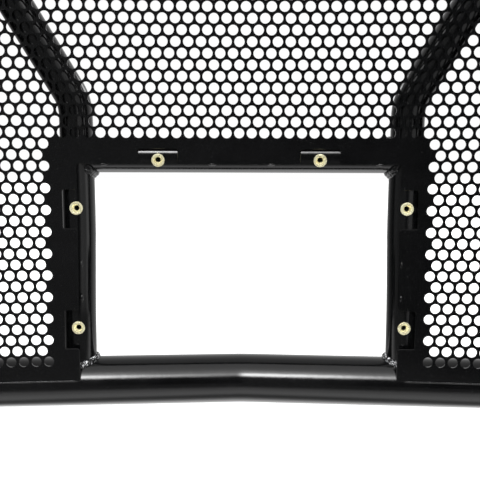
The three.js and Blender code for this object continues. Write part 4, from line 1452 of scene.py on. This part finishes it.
def floor_material():
    """Pale and matt, lifted for the camera; reflections see a banded glow that fades out."""
    material, tree, shader = base_material("pale_floor")
    shader.inputs["Base Color"].default_value = (0.93, 0.93, 0.93, 1)
    shader.inputs["Roughness"].default_value = 0.9
    shader.inputs["Specular IOR Level"].default_value = 0.0
    rays = tree.nodes.new("ShaderNodeLightPath")
    position = tree.nodes.new("ShaderNodeNewGeometry").outputs["Position"]

    axes = tree.nodes.new("ShaderNodeSeparateXYZ")
    tree.links.new(position, axes.inputs[0])
    low, high = REFLECTED_Y
    shift_y = SHIFT[1] * MILLI
    along = map_range(tree, axes.outputs["Y"], (low + shift_y, high + shift_y), (0.0, 1.0))
    bands = ramp(tree, along, [
        ((y + 0.06) / 0.32, (strength / REFLECTED_PEAK,) * 3) for y, strength in REFLECTED_FLOOR])
    glow = tree.nodes.new("ShaderNodeEmission")
    tree.links.new(
        calculate(tree, "MULTIPLY", bands, REFLECTED_PEAK), glow.inputs["Strength"])

    lift = tree.nodes.new("ShaderNodeEmission")
    camera_lift = calculate(tree, "MULTIPLY", rays.outputs["Is Camera Ray"], 0.45)
    tree.links.new(camera_lift, lift.inputs["Strength"])
    lifted = tree.nodes.new("ShaderNodeAddShader")
    tree.links.new(shader.outputs[0], lifted.inputs[0])
    tree.links.new(lift.outputs[0], lifted.inputs[1])

    distance = tree.nodes.new("ShaderNodeVectorMath")
    distance.operation = "LENGTH"
    tree.links.new(position, distance.inputs[0])
    fade = map_range(tree, distance.outputs["Value"], (0.36, 0.46), (0.0, 1.0))
    clear = tree.nodes.new("ShaderNodeBsdfTransparent")
    reflected = mix_shaders(tree, fade, glow.outputs[0], clear.outputs[0])
    seen = mix_shaders(tree, rays.outputs["Is Glossy Ray"], lifted.outputs[0], reflected)
    tree.links.new(seen, tree.nodes["Material Output"].inputs[0])
    return material


floor_z = cad_box[0][2] - FLOOR_DROP
floor_mesh = bpy.data.meshes.new("floor")
floor_corners = [(-1, -1), (1, -1), (1, 1), (-1, 1)]
floor_mesh.from_pydata(
    [(x * FLOOR_HALF, y * FLOOR_HALF, floor_z) for x, y in floor_corners], [], [(0, 1, 2, 3)])
floor = bpy.data.objects.new("floor", floor_mesh)
scene.collection.objects.link(floor)
floor_mesh.materials.append(floor_material())

# ---- studio: white to the camera, uneven walls and a key softbox to everything else ---------------
# (degrees, brightness). Elevation is 0 behind the camera (+Y), 90 overhead and 180 ahead of it.
ELEVATION_LIGHT = [
    (-180, 0.20), (-100, 0.24), (-60, 0.20), (-34, 0.035), (10, 0.035), (16, 0.06),
    (21, 0.09), (25, 0.2), (29, 0.40), (34, 0.48), (39, 0.48), (45, 0.44), (50, 0.37),
    (55, 0.31), (60, 0.27), (66, 0.24), (72, 0.22), (82, 0.205), (87, 0.17), (91, 0.09),
    (96, 0.08), (104, 0.085), (111, 0.09), (119, 0.10), (130, 0.125), (146, 0.15),
    (165, 0.18), (180, 0.20),
]
# Azimuth is 0 behind the camera and grows to the camera's right (-X).
AZIMUTH_LIGHT = [
    (-180, 0.20), (-162, 0.15), (-150, 0.10), (-135, 0.07), (-121, 0.038), (-100, 0.012),
    (-91, 0.022), (-80, 0.05), (-62, 0.046), (-46, 0.032), (-20, 0.032), (-6, 0.034),
    (-3, 0.029), (-1, 0.019), (1, 0.011), (3, 0.007), (8, 0.006), (14, 0.012), (21, 0.07),
    (27, 0.115), (44, 0.10), (58, 0.10), (65, 0.22), (77, 0.24), (85, 0.12), (91, 0.045),
    (96, 0.03), (104, 0.09), (128, 0.15), (144, 0.14), (160, 0.18), (180, 0.20),
]
# the key softbox, high behind the camera and mostly to its left
KEY_ELEVATION = [
    (-180, 0), (16, 0.0), (19.5, 0.04), (23.5, 0.5), (27, 1.0), (32, 1.0), (35.5, 0.5),
    (39, 0.17), (46, 0.06), (54, 0.0), (180, 0),
]
KEY_AZIMUTH = [
    (-180, 0), (-26, 0.0), (-15, 0.5), (-11, 1.0), (-6, 1.0), (-3.5, 0.85), (-1.5, 0.7),
    (1, 0.36), (2.5, 0.28), (6.5, 0.18), (12, 0.07), (18, 0.0), (180, 0),
]
KEY_STRENGTH, STUDIO_STRENGTH = 4.8, 5.0
# below the first slope the azimuth table rules, above the second the elevation table
LEVEL_SLOPE, STEEP_SLOPE = math.radians(16), math.radians(34)


def studio_world():
    world = bpy.data.worlds.new("studio")
    scene.world = world
    world.use_nodes = True
    tree = world.node_tree
    tree.nodes.clear()
    output = tree.nodes.new("ShaderNodeOutputWorld")
    coordinates = tree.nodes.new("ShaderNodeTexCoord")
    axes = tree.nodes.new("ShaderNodeSeparateXYZ")
    tree.links.new(coordinates.outputs["Generated"], axes.inputs[0])
    x, y, z = axes.outputs

    def degrees(opposite, adjacent):
        angle = calculate(tree, "ARCTAN2", opposite, adjacent)
        return calculate(tree, "MULTIPLY", angle, 180 / math.pi)

    def degree_ramp(source, stops):
        turn = map_range(tree, source, (-180, 180), (0, 1))
        return ramp(tree, turn, [((angle + 180) / 360, (value,) * 3) for angle, value in stops])

    elevation = degrees(z, y)
    azimuth = degrees(calculate(tree, "MULTIPLY", x, -1.0), y)
    slope = map_range(
        tree, calculate(tree, "ABSOLUTE", z),
        (math.sin(LEVEL_SLOPE), math.sin(STEEP_SLOPE)), (0, 1), smooth=True)
    walls = tree.nodes.new("ShaderNodeMix")
    walls.data_type = "RGBA"
    tree.links.new(slope, walls.inputs["Factor"])
    tree.links.new(degree_ramp(azimuth, AZIMUTH_LIGHT), walls.inputs["A"])
    tree.links.new(degree_ramp(elevation, ELEVATION_LIGHT), walls.inputs["B"])
    key = calculate(
        tree, "MULTIPLY", degree_ramp(elevation, KEY_ELEVATION),
        degree_ramp(azimuth, KEY_AZIMUTH))
    key = calculate(tree, "MULTIPLY", key, KEY_STRENGTH)

    surroundings = tree.nodes.new("ShaderNodeBackground")
    lit = add_colours(tree, walls.outputs["Result"], key)
    tree.links.new(lit, surroundings.inputs[0])
    surroundings.inputs[1].default_value = STUDIO_STRENGTH
    backdrop = tree.nodes.new("ShaderNodeBackground")
    backdrop.inputs[0].default_value = (1, 1, 1, 1)
    backdrop.inputs[1].default_value = 1.0
    rays = tree.nodes.new("ShaderNodeLightPath")
    seen = mix_shaders(
        tree, rays.outputs["Is Camera Ray"], surroundings.outputs[0], backdrop.outputs[0])
    tree.links.new(seen, output.inputs[0])


studio_world()


# ---- lights and camera: metres, from the bottom tube's axis --------------------------------------
def area_light(name, location, target, width, height, radiance):
    light = bpy.data.lights.new(name, "AREA")
    light.shape = "RECTANGLE"
    light.size, light.size_y = width, height
    light.energy = radiance * math.pi * width * height
    obj = bpy.data.objects.new(name, light)
    scene.collection.objects.link(obj)
    obj.location = Vector(location) + SHIFT_M
    aim = Vector(target) - Vector(location)
    obj.rotation_euler = aim.to_track_quat("-Z", "Y").to_euler()
    return obj


for name, x in (("softbox_front_left", -1.9), ("softbox_front_right", 1.9)):
    area_light(name, location=(x, -1.7, 1.7), target=(0, 0, 0.25),
               width=0.9, height=0.5, radiance=5.0)
overhead = area_light("overhead", location=(0.0, -0.4, 3.0), target=(0, 0, 0.0),
                      width=2.5, height=1.6, radiance=1.2)
overhead.visible_glossy = False

# the camera stands behind the guard and looks forward, along -Y
CAMERA_PLACE = (0.0028, 0.8134, 0.2241)
PITCH_DOWN, YAW, ROLL = 0.0887, 0.0015, 0.0031      # radians
lens = bpy.data.cameras.new("camera")
lens.sensor_width = 36.0
lens.lens = 57.0
lens.clip_start, lens.clip_end = 0.01, 100
camera = bpy.data.objects.new("camera", lens)
scene.collection.objects.link(camera)
camera.location = Vector(CAMERA_PLACE) + SHIFT_M
aim = (Matrix.Rotation(math.pi, 4, "Z") @ Matrix.Rotation(-YAW, 4, "Z")
       @ Matrix.Rotation(math.pi / 2 - PITCH_DOWN, 4, "X") @ Matrix.Rotation(ROLL, 4, "Z"))
camera.rotation_euler = aim.to_euler()
scene.camera = camera
scene.view_settings.view_transform = "Standard"
scene.view_settings.look = "None"

# ---- close ---------------------------------------------------------------------------------------
bpy.context.view_layer.update()
